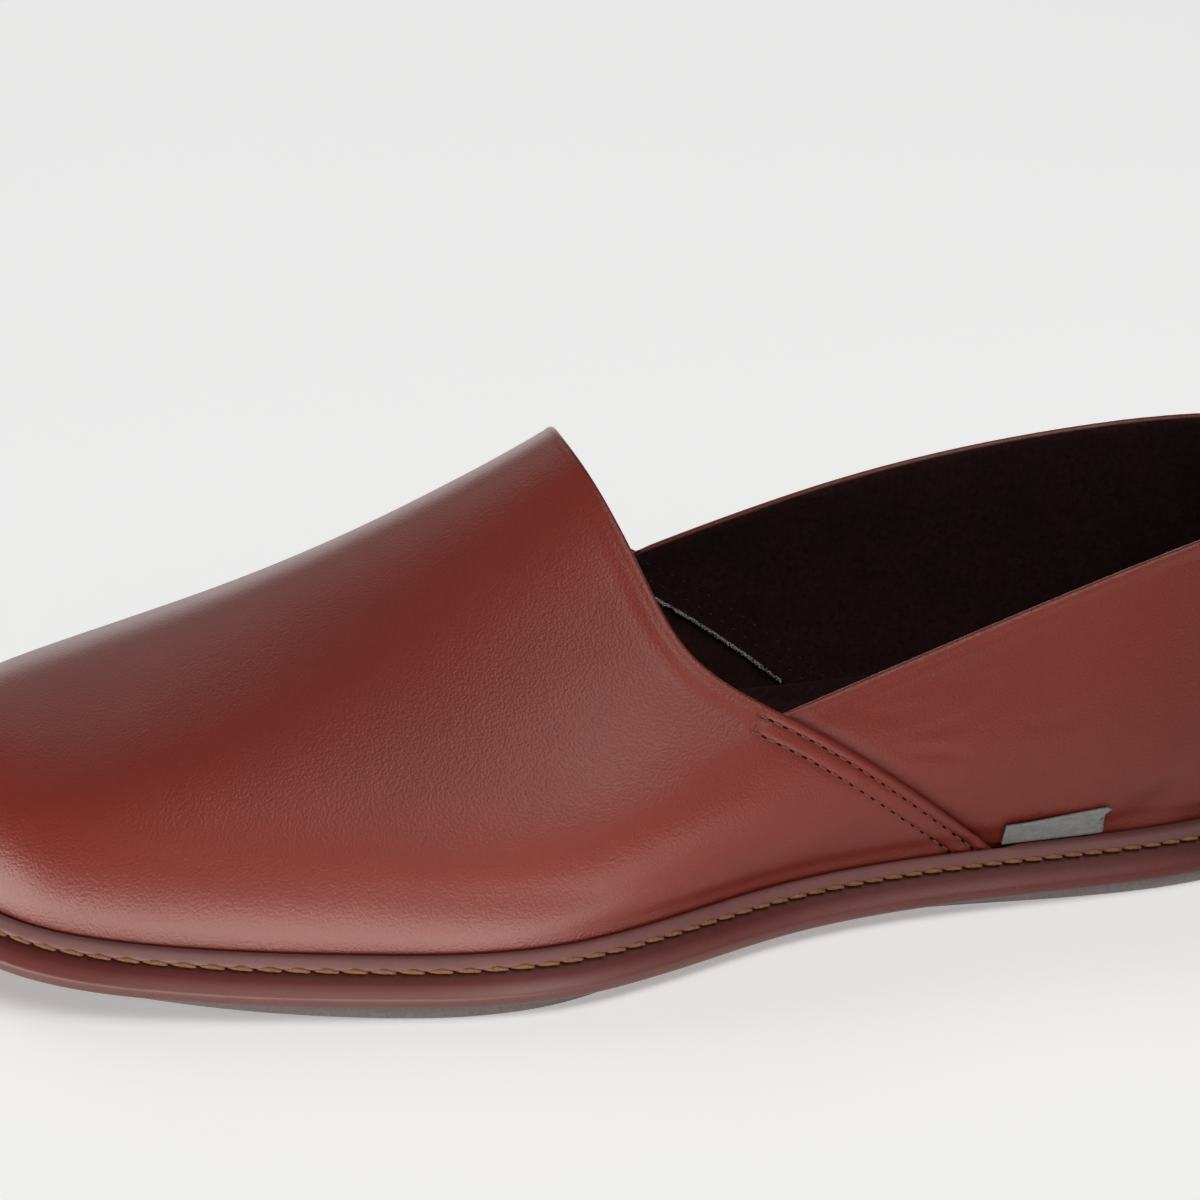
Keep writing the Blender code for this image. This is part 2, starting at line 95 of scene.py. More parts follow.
sampling = {
    "chordPower": 0.75,  # softens the chord lengths that place a curve's knots
    "pathPlaces": 4801,
    "halfPlaces": 601,
    "columnPlaces": 241,
    "seamPlaces": 401,
    "creasePlaces": 60,
    "treePlaces": (240, 90),
    "outlinePlaces": 1601,
    "alongStep": 0.3 * mm,
    "outwardStep": 0.2 * mm,
    "noiseShift": (7.1, 3.7, 5.3),  # for each step of the seed
}
welds = {"sheet": 0.004 * mm, "fold": 0.008 * mm, "thread": 0.001 * mm, "fibre": 0.0005 * mm}
up = np.array([0.0, 0.0, 1.0])


def ease(value, low, high):
    t = np.clip((value - low) / (high - low), 0, 1)
    return t * t * (3 - 2 * t)


def window(value, limits):
    return ease(value, *limits[:2]) * (1 - ease(value, *limits[2:]))


def bell(value, middle, width):
    return np.exp(-((value - middle) / width) ** 2)


def ridge(value, row):  # a row is height, middle and half width
    return row[0] * bell(value, *row[1:])


def unit(vectors):
    return vectors / np.linalg.norm(vectors, axis=-1, keepdims=True)


def chordsOf(points):
    return np.linalg.norm(np.diff(points, axis=0), axis=-1)


def smoothCurve(points, knots=None, closed=False):
    points = np.asarray(points, float)
    if closed:
        points = np.vstack([points, points[:1]])
    if knots is None:
        chords = chordsOf(points) ** sampling["chordPower"]
        knots = np.append(0.0, np.cumsum(chords)) / chords.sum()
    knots = np.asarray(knots, float)
    gaps = np.diff(knots)
    rises = np.diff(points, axis=0) / gaps[:, None]
    last = len(points) - 1
    weights = np.zeros((last + 1, last + 1))
    sums = np.zeros_like(points)
    for i in range(1, last):
        weights[i, i - 1:i + 2] = gaps[i], 2 * (gaps[i] + gaps[i - 1]), gaps[i - 1]
        sums[i] = 3 * (gaps[i - 1] * rises[i] + gaps[i] * rises[i - 1])
    if closed:
        weights[0, [0, 1, last - 1]] = 2 * (gaps[0] + gaps[-1]), gaps[-1], gaps[0]
        sums[0] = 3 * (gaps[-1] * rises[0] + gaps[0] * rises[-1])
        weights[last, [0, last]] = 1, -1
    else:
        weights[0, :2] = 2, 1
        sums[0] = 3 * rises[0]
        weights[last, -2:] = 1, 2
        sums[last] = 3 * rises[-1]
    slopes = np.linalg.solve(weights, sums)

    def at(place):
        place = np.clip(place, knots[0], knots[-1])
        i = np.clip(np.searchsorted(knots, place, "right") - 1, 0, last - 1)
        gap = gaps[i][:, None]
        t = ((place - knots[i]) / gaps[i])[:, None]
        return ((1 + 2 * t) * (1 - t) ** 2 * points[i] + t * (1 - t) ** 2 * gap * slopes[i]
                + t ** 2 * (3 - 2 * t) * points[i + 1] + t ** 2 * (t - 1) * gap * slopes[i + 1])

    return at, knots


class Path:  # a curve measured along its own length
    def __init__(self, points):
        self.points = points
        self.run = np.append(0.0, np.cumsum(chordsOf(points)))
        self.length = self.run[-1]

    def at(self, run):
        return np.stack([np.interp(run, self.run, column) for column in self.points.T], axis=-1)

    def along(self, run):  # unit direction of travel
        step = sampling["alongStep"]
        return unit(self.at(np.minimum(run + step, self.length)) - self.at(np.maximum(run - step, 0)))


def pathThrough(points, closed=False):
    curve, knots = smoothCurve(points, closed=closed)
    places = np.linspace(0, 1, sampling["pathPlaces"])
    path = Path(curve(places))
    return path, np.interp(knots, places, path.run)


def soleOutline():
    rows = lastShape["soleRows"]
    lateral = [(row[0] * shoeLength, row[1] * ballWidth) for row in rows]
    medial = [(row[0] * shoeLength, -row[2] * ballWidth) for row in reversed(rows)]
    heel = [(0.0, lastShape["heelCentre"] * ballWidth)]
    tip = [(shoeLength, lastShape["tipCentre"] * ballWidth)]
    path, runs = pathThrough(heel + lateral + tip + medial, closed=True)
    return path, runs[len(rows) + 1]


outline, tipRun = soleOutline()
frameShift = np.append(-(outline.points.min(axis=0) + outline.points.max(axis=0)) / 2, 0.0)


def outward(run):
    step = sampling["outwardStep"]
    travel = unit(outline.at((run + step) % outline.length) - outline.at((run - step) % outline.length))
    return np.stack([-travel[..., 1], travel[..., 0], np.zeros_like(run)], axis=-1)


def toeLift(along):
    start = lastShape["springStart"] * shoeLength
    return lastShape["toeSpring"] * (np.clip(along - start, 0, None) / (shoeLength - start)) ** 2


def besideOutline(run, offset, height):
    run = np.asarray(run, float) % outline.length
    flat = np.concatenate([outline.at(run), np.zeros(run.shape + (1,))], axis=-1)
    points = flat + outward(run) * np.reshape(offset, (-1, 1))
    points[:, 2] = height + toeLift(points[:, 0])
    return points


def runAt(along, side):
    half = np.linspace(outline.length if side == "medial" else 0, tipRun, sampling["halfPlaces"])
    return float(np.interp(along * shoeLength, outline.at(half)[:, 0], half))


def rimPath(rows, height):
    scale = np.array([shoeLength, ballWidth, height])
    join = np.array([shoeLength, ballWidth, lastShape["heel"]])
    first, last = [np.array(lastShape[name]) * join for name in ("joinLateral", "joinMedial")]
    path, runs = pathThrough([first, *(np.array(rows) * scale), last])
    return path, runs[lastShape["rimMiddle"]]


class Panel:  # share runs from the lateral to the medial side, climb from foot to edge
    def __init__(self, edge, edgeMiddle, footMiddle, stations, facing, fair=None):
        self.edge, self.edgeMiddle, self.footMiddle = edge, edgeMiddle, footMiddle
        self.facing, self.fair = facing, fair
        rows = [lastShape["wallShapes"][name] for name in stations.values()]
        self.shape, _ = smoothCurve(rows, knots=list(stations))
        self.footLateral = runAt(lastShape["seamFoot"][0], "lateral")
        self.footMedial = runAt(lastShape["seamFoot"][1], "medial")

    def footRun(self, share):
        near, far = self.footMiddle
        first = self.footLateral + (near - self.footLateral) * 2 * share
        return np.where(share <= 0.5, first, far + (self.footMedial - far) * (2 * share - 1))

    def edgeRun(self, share):
        second = self.edgeMiddle + (self.edge.length - self.edgeMiddle) * (2 * share - 1)
        return np.where(share <= 0.5, self.edgeMiddle * 2 * share, second)

    def shareAt(self, run):
        second = 0.5 + (run - self.edgeMiddle) / (self.edge.length - self.edgeMiddle) / 2
        return np.where(run <= self.edgeMiddle, run / self.edgeMiddle / 2, second)

    def points(self, share, climb):  # climb is one list of rows, or a row list for each share
        share, climb = np.atleast_1d(share), np.asarray(climb, float)
        climb = np.repeat(climb[:, None], len(share), axis=1) if climb.ndim == 1 else climb
        plain = self.columns(share, climb)
        if not self.fair:
            return plain
        weight = window(np.minimum(share, 1 - share), self.fair["sides"]) * window(climb, self.fair["climbs"])
        if not weight.any():
            return plain
        across, along = self.fair["reach"]
        steps = np.array(self.fair["steps"])
        parts = np.exp(-steps ** 2 / 2)
        parts /= parts.sum()
        rows = np.clip(np.concatenate([climb + step * along for step in steps]), 0, 1)
        soft = np.zeros_like(plain)
        for step, part in zip(steps, parts):
            around = self.columns(np.clip(share + step * across, 0, 1), rows)
            soft += part * np.tensordot(parts, around.reshape(len(steps), *plain.shape), axes=1)
        return plain + weight[..., None] * (soft - plain)

    def columns(self, share, climb):
        run = self.footRun(share)
        foot = besideOutline(run, -lastShape["featherInset"], lastShape["featherHeight"])
        edge = self.edge.at(self.edgeRun(share))
        height = (edge - foot)[:, 2:]
        out = outward(run)
        aside = np.cross(out, up)
        lean, rise, slant, reach, swell, drop = self.shape(share).T[:, :, None]
        sideways = aside * np.sum((edge - foot) * aside, axis=1, keepdims=True)
        leaving = foot + (out * lean + up * rise) * height + sideways * slant
        coming = edge + (foot - edge) * (1 - up) * reach + (out * swell - up * drop) * height
        t = climb[:, :, None]
        low = (1 - t) ** 3 * foot + 3 * (1 - t) ** 2 * t * leaving
        return low + 3 * (1 - t) * t ** 2 * coming + t ** 3 * edge

    def normals(self, share, climb):
        step, corner = 0.002, 0.03
        inside = np.clip(np.atleast_1d(share), corner, 1 - corner)
        below = np.clip(np.asarray(climb, float), step, 1 - step)
        across = self.points(inside + step, below) - self.points(inside - step, below)
        upward = self.points(inside, below + step) - self.points(inside, below - step)
        return unit(np.cross(upward, across) * self.facing)


collar, collarMiddle = rimPath(lastShape["collarRows"], lastShape["heel"])
quarter = Panel(collar, collarMiddle, (0.0, outline.length), lastShape["quarterStations"], -1)
throat, throatMiddle = rimPath(lastShape["throatRows"], lastShape["instep"])
climbFine = np.linspace(0, 1, sampling["seamPlaces"])
seamLateral = Path(quarter.points(0.0, climbFine)[:, 0])
seamMedial = Path(quarter.points(1.0, climbFine[::-1])[:, 0])
vampEdge = Path(np.concatenate([seamLateral.points[:-1], throat.points, seamMedial.points[1:]]))
vampMiddle = seamLateral.length + throatMiddle
vamp = Panel(vampEdge, vampMiddle, (tipRun, tipRun), lastShape["vampStations"], 1, fair=fairing)
throatStart, throatEnd = seamLateral.length, vampEdge.length - seamMedial.length
print("last shape ready, vamp edge %.0f mm" % (vampEdge.length / mm))


def softNoise(points, row, seed):  # smooth bumps; a row is depth and size
    depth, size = row
    shift = Vector([seed * part for part in sampling["noiseShift"]])
    values = [noise.noise(Vector(point) + shift) for point in points.reshape(-1, 3) / size]
    return depth * np.array(values).reshape(points.shape[:-1])


def nearestOn(path, points):  # distance to a path, and the run of the nearest place on it
    tree = KDTree(len(path.points))
    for index, point in enumerate(path.points):
        tree.insert(point, index)
    tree.balance()
    found = [tree.find(point)[1:] for point in points.reshape(-1, 3)]
    gap = np.array([item[1] for item in found]).reshape(points.shape[:-1])
    run = path.run[[item[0] for item in found]].reshape(points.shape[:-1])
    return gap, run


def panelGrid(panel, columns, gaps, coarse, start=None):
    # rows at fixed distances below the edge, then even rows down to the foot
    mostStart, leastRest = 0.3, 2.2  # keep short columns in order
    shares = np.linspace(0, 1, columns)
    start = np.zeros(columns) if start is None else start
    t = np.linspace(1, 0, sampling["columnPlaces"])
    steps = np.cumsum(chordsOf(panel.points(shares, t)), axis=0)
    run = np.concatenate([np.zeros((1, columns)), steps])
    climbs = np.zeros((len(gaps) + coarse, columns))
    for column in range(columns):
        total = run[-1, column]
        first = min(start[column], total * mostStart)
        near = first + gaps * min(1.0, (total - first) / (leastRest * gaps[-1]))
        rest = np.linspace(near[-1], total, coarse + 1)[1:]
        climbs[:, column] = np.interp(np.concatenate([near, rest]), run[:, column], t)
    points = panel.points(shares, climbs)
    return climbs, points, panel.normals(shares, climbs), *nearestOn(panel.edge, points)


def addGrid(bm, points):  # a grid bent to columns of points
    across, along = points.shape[0] - 1, points.shape[1] - 1
    grid = bmesh.ops.create_grid(bm, x_segments=across, y_segments=along, size=1.0)
    for vert in grid["verts"]:
        column = round((vert.co.x + 1) / 2 * across)
        row = round((vert.co.y + 1) / 2 * along)
        vert.co = Vector(points[column, row])


def linkMesh(name, bm, material):
    mesh = bpy.data.meshes.new(name)
    bm.to_mesh(mesh)
    bm.free()
    mesh.materials.append(material)
    thing = bpy.data.objects.new(name, mesh)
    bpy.context.scene.collection.objects.link(thing)
    return thing


def finishPiece(name, bm, material, node=None, weld="thread"):
    bmesh.ops.remove_doubles(bm, verts=bm.verts, dist=welds[weld])
    bmesh.ops.dissolve_degenerate(bm, edges=bm.edges, dist=welds[weld])
    bmesh.ops.recalc_face_normals(bm, faces=bm.faces)
    bmesh.ops.translate(bm, verts=bm.verts, vec=Vector(frameShift))
    piece = linkMesh(name, bm, material)
    piece.data.shade_smooth()
    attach(piece, "root")
    if node:
        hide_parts(node)
    print("%s: %d faces" % (name, len(piece.data.polygons)))


def gridPiece(name, points, material, node, weld="sheet", closeEnds=False):
    bm = bmesh.new()
    addGrid(bm, points)
    if closeEnds:
        ends = [edge for edge in bm.edges if edge.is_boundary]
        bmesh.ops.holes_fill(bm, edges=ends, sides=0)
    finishPiece(name, bm, material, node, weld)


# Materials
noiseRange = (0.3, 0.7)  # where most values of a noise lie


def setInputs(tree, node, inputs):  # sockets are linked, values are set
    for name, value in inputs.items():
        if isinstance(value, bpy.types.NodeSocket):
            tree.links.new(value, node.inputs[name])
        else:
            node.inputs[name].default_value = value


def addNode(tree, kind, output, inputs, **settings):
    node = tree.nodes.new(kind)
    for name, value in settings.items():
        setattr(node, name, value)
    setInputs(tree, node, inputs)
    return node.outputs[output]


def newMaterial(name, colour, roughness):
    material = bpy.data.materials.new(name)
    material.use_nodes = True
    tree = material.node_tree
    shader = tree.nodes["Principled BSDF"]
    setInputs(tree, shader, {"Base Color": (*colour, 1.0), "Roughness": roughness})
    return material, tree, shader, addNode(tree, "ShaderNodeTexCoord", "Object", {})


def noiseAt(tree, place, recipe):  # a recipe is scale, detail and roughness
    inputs = dict(zip(("Vector", "Scale", "Detail", "Roughness"), (place, *recipe)))
    return addNode(tree, "ShaderNodeTexNoise", "Fac", inputs)


def mapRange(tree, value, limits, results):
    names = ("Value", "From Min", "From Max", "To Min", "To Max")
    return addNode(tree, "ShaderNodeMapRange", "Result", dict(zip(names, (value, *limits, *results))))


def mathNode(tree, operation, first, second):
    return addNode(tree, "ShaderNodeMath", 0, {0: first, 1: second}, operation=operation)


def mixColours(tree, factor, first, second):
    inputs = {"Factor": factor, "A": (*first, 1.0), "B": (*second, 1.0)}
    return addNode(tree, "ShaderNodeMix", "Result", inputs, data_type="RGBA")


def bumpFrom(tree, shader, layers):  # layers of height value and depth, stacked; a minus turns one over
    normal = {}
    for height, depth in layers:
        inputs = {"Strength": 1.0, "Distance": abs(depth), "Height": height, **normal}
        normal = {"Normal": addNode(tree, "ShaderNodeBump", "Normal", inputs, invert=depth < 0)}
    setInputs(tree, shader, normal)


leatherLook = {
    "colour": (0.158, 0.0207, 0.0130),
    "deep": (0.138, 0.0174, 0.0110),  # the darker tone of the mottle
    "mottle": (26.0, 4.0, 0.6),
    "mottleShare": 0.62,
    "blotch": (190.0, 3.0, 0.6),
    "blotchShare": 0.38,
    "roughness": (0.38, 0.44),
    "heelTone": 0.82,  # painted shade: the colour is drawn darker towards the heel, where less light falls
    "paintedHeelShadeAlong": (-125.0 * mm, -30.0 * mm),
    "gloss": 0.385,
    "footGloss": 0.88,  # the foot of the toe is polished by wear
    "polishHeight": (13.0 * mm, 23.0 * mm),
    "polishAlong": (0.0, 40.0 * mm),
    "shade": 1.0,  # painted shade in the hollow under a stitched edge, as a scale on the colour
    "shadeHeight": (5.8 * mm, 7.8 * mm),
    "glossTint": (1.0, 0.92, 0.83),
    "grainScale": 2300.0,  # grains to a metre
    "grainSmoothness": 0.6,
    "grainDepth": 0.060 * mm,
    "driftScale": 0.4,  # bends the grain, as a share of its scale
    "drift": 0.15 * mm,
    "wave": (620.0, 3.0, 0.6),
    "waveDepth": 0.004 * mm,
}


def leatherGrain(tree, place, look):
    scale, bend = look["grainScale"], (look["drift"],) * 3
    drift = addNode(tree, "ShaderNodeTexNoise", "Color", {"Vector": place, "Scale": scale * look["driftScale"]})
    bent = addNode(tree, "ShaderNodeVectorMath", 0, {0: drift, 1: bend, 2: place}, operation="MULTIPLY_ADD")
    inputs = {"Vector": bent, "Scale": scale, "Smoothness": look["grainSmoothness"]}
    return addNode(tree, "ShaderNodeTexVoronoi", "Distance", inputs, feature="SMOOTH_F1")


def heightAboveEdge(tree, axes):  # height with the toe's lift taken off
    start = (lastShape["springStart"] - 0.5) * shoeLength
    ahead = mapRange(tree, axes["X"], (start, shoeLength / 2), (0.0, 1.0))
    squared = mathNode(tree, "MULTIPLY", ahead, ahead)
    lift = mapRange(tree, squared, (0.0, 1.0), (0.0, lastShape["toeSpring"]))
    return mathNode(tree, "SUBTRACT", axes["Z"], lift)


def leatherMaterial(name, **changes):
    look = dict(leatherLook, **changes)
    material, tree, shader, place = newMaterial(name, look["colour"], look["roughness"][0])
    axes = {name: addNode(tree, "ShaderNodeSeparateXYZ", name, {0: place}) for name in ("X", "Z")}
    above = heightAboveEdge(tree, axes)
    mottle = noiseAt(tree, place, look["mottle"])
    blotch = noiseAt(tree, place, look["blotch"])
    tone = mathNode(tree, "ADD", mapRange(tree, mottle, noiseRange, (0.0, look["mottleShare"])),
                    mapRange(tree, blotch, noiseRange, (0.0, look["blotchShare"])))
    # painted shade: the colour is scaled darker towards the heel and in the hollow under a stitched edge
    shade = mathNode(tree, "MULTIPLY", mapRange(tree, axes["X"], look["paintedHeelShadeAlong"], (look["heelTone"], 1.0)),
                     mapRange(tree, above, look["shadeHeight"], (1.0, look["shade"])))
    mottled = mixColours(tree, tone, look["deep"], look["colour"])
    colour = addNode(tree, "ShaderNodeVectorMath", 0, {0: mottled, "Scale": shade}, operation="SCALE")
    polish = mathNode(tree, "MULTIPLY", mapRange(tree, above, look["polishHeight"], (1.0, 0.0)),
                      mapRange(tree, axes["X"], look["polishAlong"], (0.0, 1.0)))
    gloss = mapRange(tree, polish, (0.0, 1.0), (look["gloss"], look["footGloss"]))
    roughness = mapRange(tree, mottle, noiseRange, look["roughness"][::-1])
    setInputs(tree, shader, {"Base Color": colour, "Roughness": roughness, "Specular IOR Level": gloss,
                             "Specular Tint": (*look["glossTint"], 1.0)})
    bumpFrom(tree, shader, [(noiseAt(tree, place, look["wave"]), look["waveDepth"]),
                            (leatherGrain(tree, place, look), -look["grainDepth"])])
    return material


upperLeather = leatherMaterial("upperLeather")
# painted shade: the cover's colour is drawn darker in the hollow under the welt stitches
coverLeather = leatherMaterial(
    "coverLeather", colour=(0.135, 0.030, 0.0265), deep=(0.110, 0.023, 0.020), roughness=(0.40, 0.48),
    gloss=0.12, footGloss=1.0, polishHeight=(4.8 * mm, 6.8 * mm), polishAlong=(-110.0 * mm, 40.0 * mm),
    shade=0.50, grainDepth=0.022 * mm)
# painted sheen: the welt is the same red leather as the cover, drawn paler and greyer where its upturned margin
# catches the light
weltLeatherPaintedSheen = leatherMaterial(
    "weltLeatherPaintedSheen", colour=(0.165, 0.062, 0.059), deep=(0.130, 0.046, 0.044), roughness=(0.55, 0.68),
    heelTone=0.66, footGloss=1.0, polishHeight=(20.0 * mm, 30.0 * mm), polishAlong=(20.0 * mm, 100.0 * mm),
    grainDepth=0.030 * mm)

fibreLook = {  # thread, felt, cloth and rubber: fine fibres between a dark and a light tone
    "fibre": (2600.0, 3.0, 0.6),
    "fibreRange": noiseRange,
    "fibreLow": 0.0,  # tone of the darkest fibres
    "stretch": (1.0, 1.0, 1.0),
    "cloud": (120.0, 3.0, 0.6),
    "cloudLow": 1.0,  # tone of the darkest patches
    "roughness": 0.9,
    "gloss": 0.5,
    "sheen": 0.0,
    "sheenRoughness": 0.6,
    "depth": 0.05 * mm,
}


def fibreMaterial(name, dark, light, **changes):
    look = dict(fibreLook, **changes)
    material, tree, shader, place = newMaterial(name, light, look["roughness"])
    stretched = addNode(tree, "ShaderNodeMapping", "Vector", {"Vector": place, "Scale": look["stretch"]})
    fibre = noiseAt(tree, stretched, look["fibre"])
    cloud = noiseAt(tree, place, look["cloud"])
    tone = mathNode(tree, "MULTIPLY", mapRange(tree, fibre, look["fibreRange"], (look["fibreLow"], 1.0)),
                    mapRange(tree, cloud, noiseRange, (look["cloudLow"], 1.0)))
    setInputs(tree, shader, {
        "Base Color": mixColours(tree, tone, dark, light), "Specular IOR Level": look["gloss"],
        "Sheen Weight": look["sheen"], "Sheen Roughness": look["sheenRoughness"]})
    bumpFrom(tree, shader, [(fibre, look["depth"])])
    return material


liningFelt = fibreMaterial(
    "liningFelt", (0.0085, 0.0022, 0.0020), (0.036, 0.0105, 0.0092), fibre=(900.0, 5.0, 0.7),
    fibreRange=(0.35, 0.75), cloudLow=0.4, roughness=0.95, gloss=0.1, sheen=0.03, depth=0.12 * mm)
weltThread = fibreMaterial("weltThread", (0.105, 0.038, 0.010), (0.225, 0.090, 0.023), roughness=0.62)
seamThread = fibreMaterial("seamThread", (0.070, 0.015, 0.009), (0.150, 0.042, 0.021), roughness=0.55)
liningThread = fibreMaterial("liningThread", (0.036, 0.013, 0.008), (0.070, 0.028, 0.017), gloss=0.1)
# painted shade: near-black and without gloss, for the shade inside the needle holes
needleHoleShade = fibreMaterial(
    "needleHoleShade", (0.012, 0.003, 0.003), (0.022, 0.0045, 0.0035), roughness=0.95, gloss=0.0)
outsoleRubber = fibreMaterial(
    "outsoleRubber", (0.10, 0.085, 0.08), (0.26, 0.225, 0.215), fibre=(1400.0, 4.0, 0.65), fibreLow=0.55,
    cloud=(90.0, 3.0, 0.6), cloudLow=0.8, roughness=0.82, depth=0.12 * mm)
tabCloth = fibreMaterial(
    "tabCloth", (0.088, 0.088, 0.086), (0.236, 0.233, 0.219), fibre=(1500.0, 5.0, 0.75), fibreLow=0.35,
    stretch=(0.55, 0.55, 1.0), cloud=(420.0, 2.0, 0.5), cloudLow=0.7, depth=0.10 * mm)
rawFibre = fibreMaterial("rawFibre", (0.16, 0.14, 0.13), (0.42, 0.39, 0.365))
print("materials ready")

# Vamp: one leather sheet with a folded edge, from the toe up to the throat and back to both seams.
# Relief rows are height, middle and half width.
vampSheet = {
    "columns": 280,
    "coarseRows": 60,
    "seamThickness": 0.95 * mm,
    "throatThickness": 1.25 * mm,
    "rollSeam": 0.80 * mm,
    "bead": (0.10 * mm, 1.0 * mm, 0.5 * mm),
    "rows": (2.0 * mm, 5.0 * mm),  # stitch rows, in from the folded edge
    "channel": 0.26 * mm,
    "channelWidths": (0.42 * mm, 0.45 * mm),
    "between": (0.10 * mm, 0.9 * mm),  # height and half width of the leather between the rows
    "cap": (0.8, 0.5 * mm),  # channel that joins the rows at the top: share of the depth, half width
    "pastJoin": 3.2 * mm,  # how far the stitching runs on beside the throat
    "seamFade": (0.8 * mm, 1.6 * mm),
    "throatMiddle": (0.5, 0.22),  # the folds beside the throat fade out here
    "throatFolds": ((0.14 * mm, 2.4 * mm, 0.9 * mm), (-0.10 * mm, 4.6 * mm, 1.3 * mm)),
    "hand": (0.08 * mm, 22 * mm),  # depth and size of the unevenness of soft leather
    "handGap": (2 * mm, 12 * mm),
    "tuck": (0.55 * mm, 12.2 * mm, 1.8 * mm),  # drawn in above the welt, most at the waist
    "tuckAlong": (0.50 * shoeLength, 0.68 * shoeLength),
}
edgeRows = np.array([0, .12, .25, .4, .55, .7, .9, 1.15, 1.4, 1.6, 1.8, 2.0, 2.2, 2.4, 2.65, 3.0, 3.4, 3.8, 4.2,
                     4.5, 4.75, 5.0, 5.25, 5.5, 5.8, 6.2, 6.8, 7.6, 8.8, 10.4]) * mm


def seamShare(run):  # 1 beside the two seams, 0 round the throat
    past, (before, after) = vampSheet["pastJoin"], vampSheet["seamFade"]
    return np.maximum(1 - ease(run, throatStart + past - before, throatStart + past + after),
                      ease(run, throatEnd - past - after, throatEnd - past + before))


def vampRelief(gap, run):
    look, seam = vampSheet, seamShare(run)
    (first, second), (narrow, wide) = look["rows"], look["channelWidths"]
    relief = ridge(gap, look["bead"])
    relief -= look["channel"] * seam * (bell(gap, first, narrow) + bell(gap, second, wide))
    raised, width = look["between"]
    relief += raised * seam * bell(gap, (first + second) / 2, width)
    share, width = look["cap"]
    cap = bell(run, throatStart + look["pastJoin"], width) + bell(run, throatEnd - look["pastJoin"], width)
    relief -= look["channel"] * share * cap * (gap > first) * (gap < second)
    side = 1 - bell((run - throatStart) / (throatEnd - throatStart), *look["throatMiddle"])
    return relief + (1 - seam) * side * sum(ridge(gap, fold) for fold in look["throatFolds"])


def turnIn(radius, gap):  # how far a rounded edge falls away, at a distance in from it
    turned = np.clip(radius - gap, 0, None)
    return radius - np.sqrt(np.clip(radius ** 2 - turned ** 2, 0, None))


def backRows(count, every=4):  # the unseen back of a sheet has fewer rows
    return np.append(np.arange(0, count - 1, every), count - 1)


def closedSheet(outer, inner):  # columns up the outside, over the top and down the inside
    return np.concatenate([outer[::-1], inner, outer[-1:]]).transpose(1, 0, 2)


def makeVamp():
    look = vampSheet
    climbs, face, normal, gap, run = panelGrid(vamp, look["columns"], edgeRows, look["coarseRows"])
    seam = seamShare(run)
    thick = look["throatThickness"] + (look["seamThickness"] - look["throatThickness"]) * seam
    roll = thick / 2 + (look["rollSeam"] - thick / 2) * seam
    relief = vampRelief(gap, run) + softNoise(face, look["hand"], 1) * ease(gap, *look["handGap"])
    waist = 1 - ease(face[..., 0], *look["tuckAlong"])
    tuck = waist * ridge(face[..., 2] - toeLift(face[..., 0]), look["tuck"])
    outer = face - normal * (turnIn(roll, gap) - relief + tuck)[..., None]
    rows = backRows(len(climbs))
    depth = thick[rows] - turnIn((thick - roll)[rows], gap[rows])
    inner = face[rows] - normal[rows] * depth[..., None]
    gridPiece("vampLeather", closedSheet(outer, inner), upperLeather, "upper", weld="fold")


makeVamp()

# Quarter: the heel leather, with a folded top edge and soft creases at listed places
quarterSheet = {
    "columns": 320,
    "edgeRows": (20, 1.3),  # how many of the edge's rows, and how far they are spread
    "coarseRows": 44,
    "depth": 1.0 * mm,  # below the vamp's face
    "thickness": 1.15 * mm,
    "bead": (0.16 * mm, 1.1 * mm, 0.7 * mm),
    "dip": (-0.10 * mm, 3.0 * mm, 1.0 * mm),
    "lap": (-0.50 * mm, 0.0, 1.5 * mm),  # pressed down beside the vamp's edge
    "tuck": (0.6 * mm, 12.0 * mm, 1.8 * mm),
    "behindVamp": 0.012,  # both ends run on this share
    "hand": (0.12 * mm, 18 * mm),
    "handGap": (1 * mm, 8 * mm),
    "creaseGap": (0, 3 * mm),
    "creaseEnds": (0.02, 0.98, 0.7),  # shares where a crease stops, and how it fades
    "creaseLips": (0.45, 2.1, 1.1),  # height, middle and half width, in those of the crease
    "innerCreases": 0.7,  # weaker on the inner side
    "creases": [  # (share, climb) start, middle, end; depth and half width in mm
        ((0.030, 0.86), (0.050, 0.80), (0.075, 0.79), 0.22, 1.1),
        ((0.045, 0.70), (0.072, 0.68), (0.100, 0.71), 0.20, 1.0),
        ((0.020, 0.62), (0.045, 0.58), (0.062, 0.52), 0.20, 1.0),
        ((0.012, 0.40), (0.040, 0.36), (0.068, 0.36), 0.24, 1.2),
        ((0.085, 0.83), (0.110, 0.80), (0.140, 0.82), 0.16, 1.1),
        ((0.110, 0.60), (0.140, 0.57), (0.170, 0.60), 0.14, 1.2),
        ((0.120, 0.14), (0.160, 0.16), (0.215, 0.24), 0.65, 2.8),
    ],
}


def quarterPoint(share, climb):
    return quarter.points(share, [climb])[0, 0]


def creaseRelief(points):
    look, places = quarterSheet, np.linspace(0, 1, sampling["creasePlaces"])
    (low, high, fading), (lip, lipMiddle, lipWidth) = look["creaseEnds"], look["creaseLips"]
    relief = np.zeros(points.shape[:-1])
    for start, middle, end, depth, width in look["creases"]:
        for inner in (False, True):
            stops = [(1 - s, c) if inner else (s, c) for s, c in (start, middle, end)]
            path = Path(smoothCurve([quarterPoint(*stop) for stop in stops])[0](places))
            away, run = nearestOn(path, points)
            fade = np.sin(np.pi * np.clip(run / path.length, low, high)) ** fading
            trough = bell(away, 0, width * mm) - lip * bell(away, lipMiddle * width * mm, lipWidth * width * mm)
            relief -= (look["innerCreases"] if inner else 1.0) * depth * mm * fade * trough
    return relief


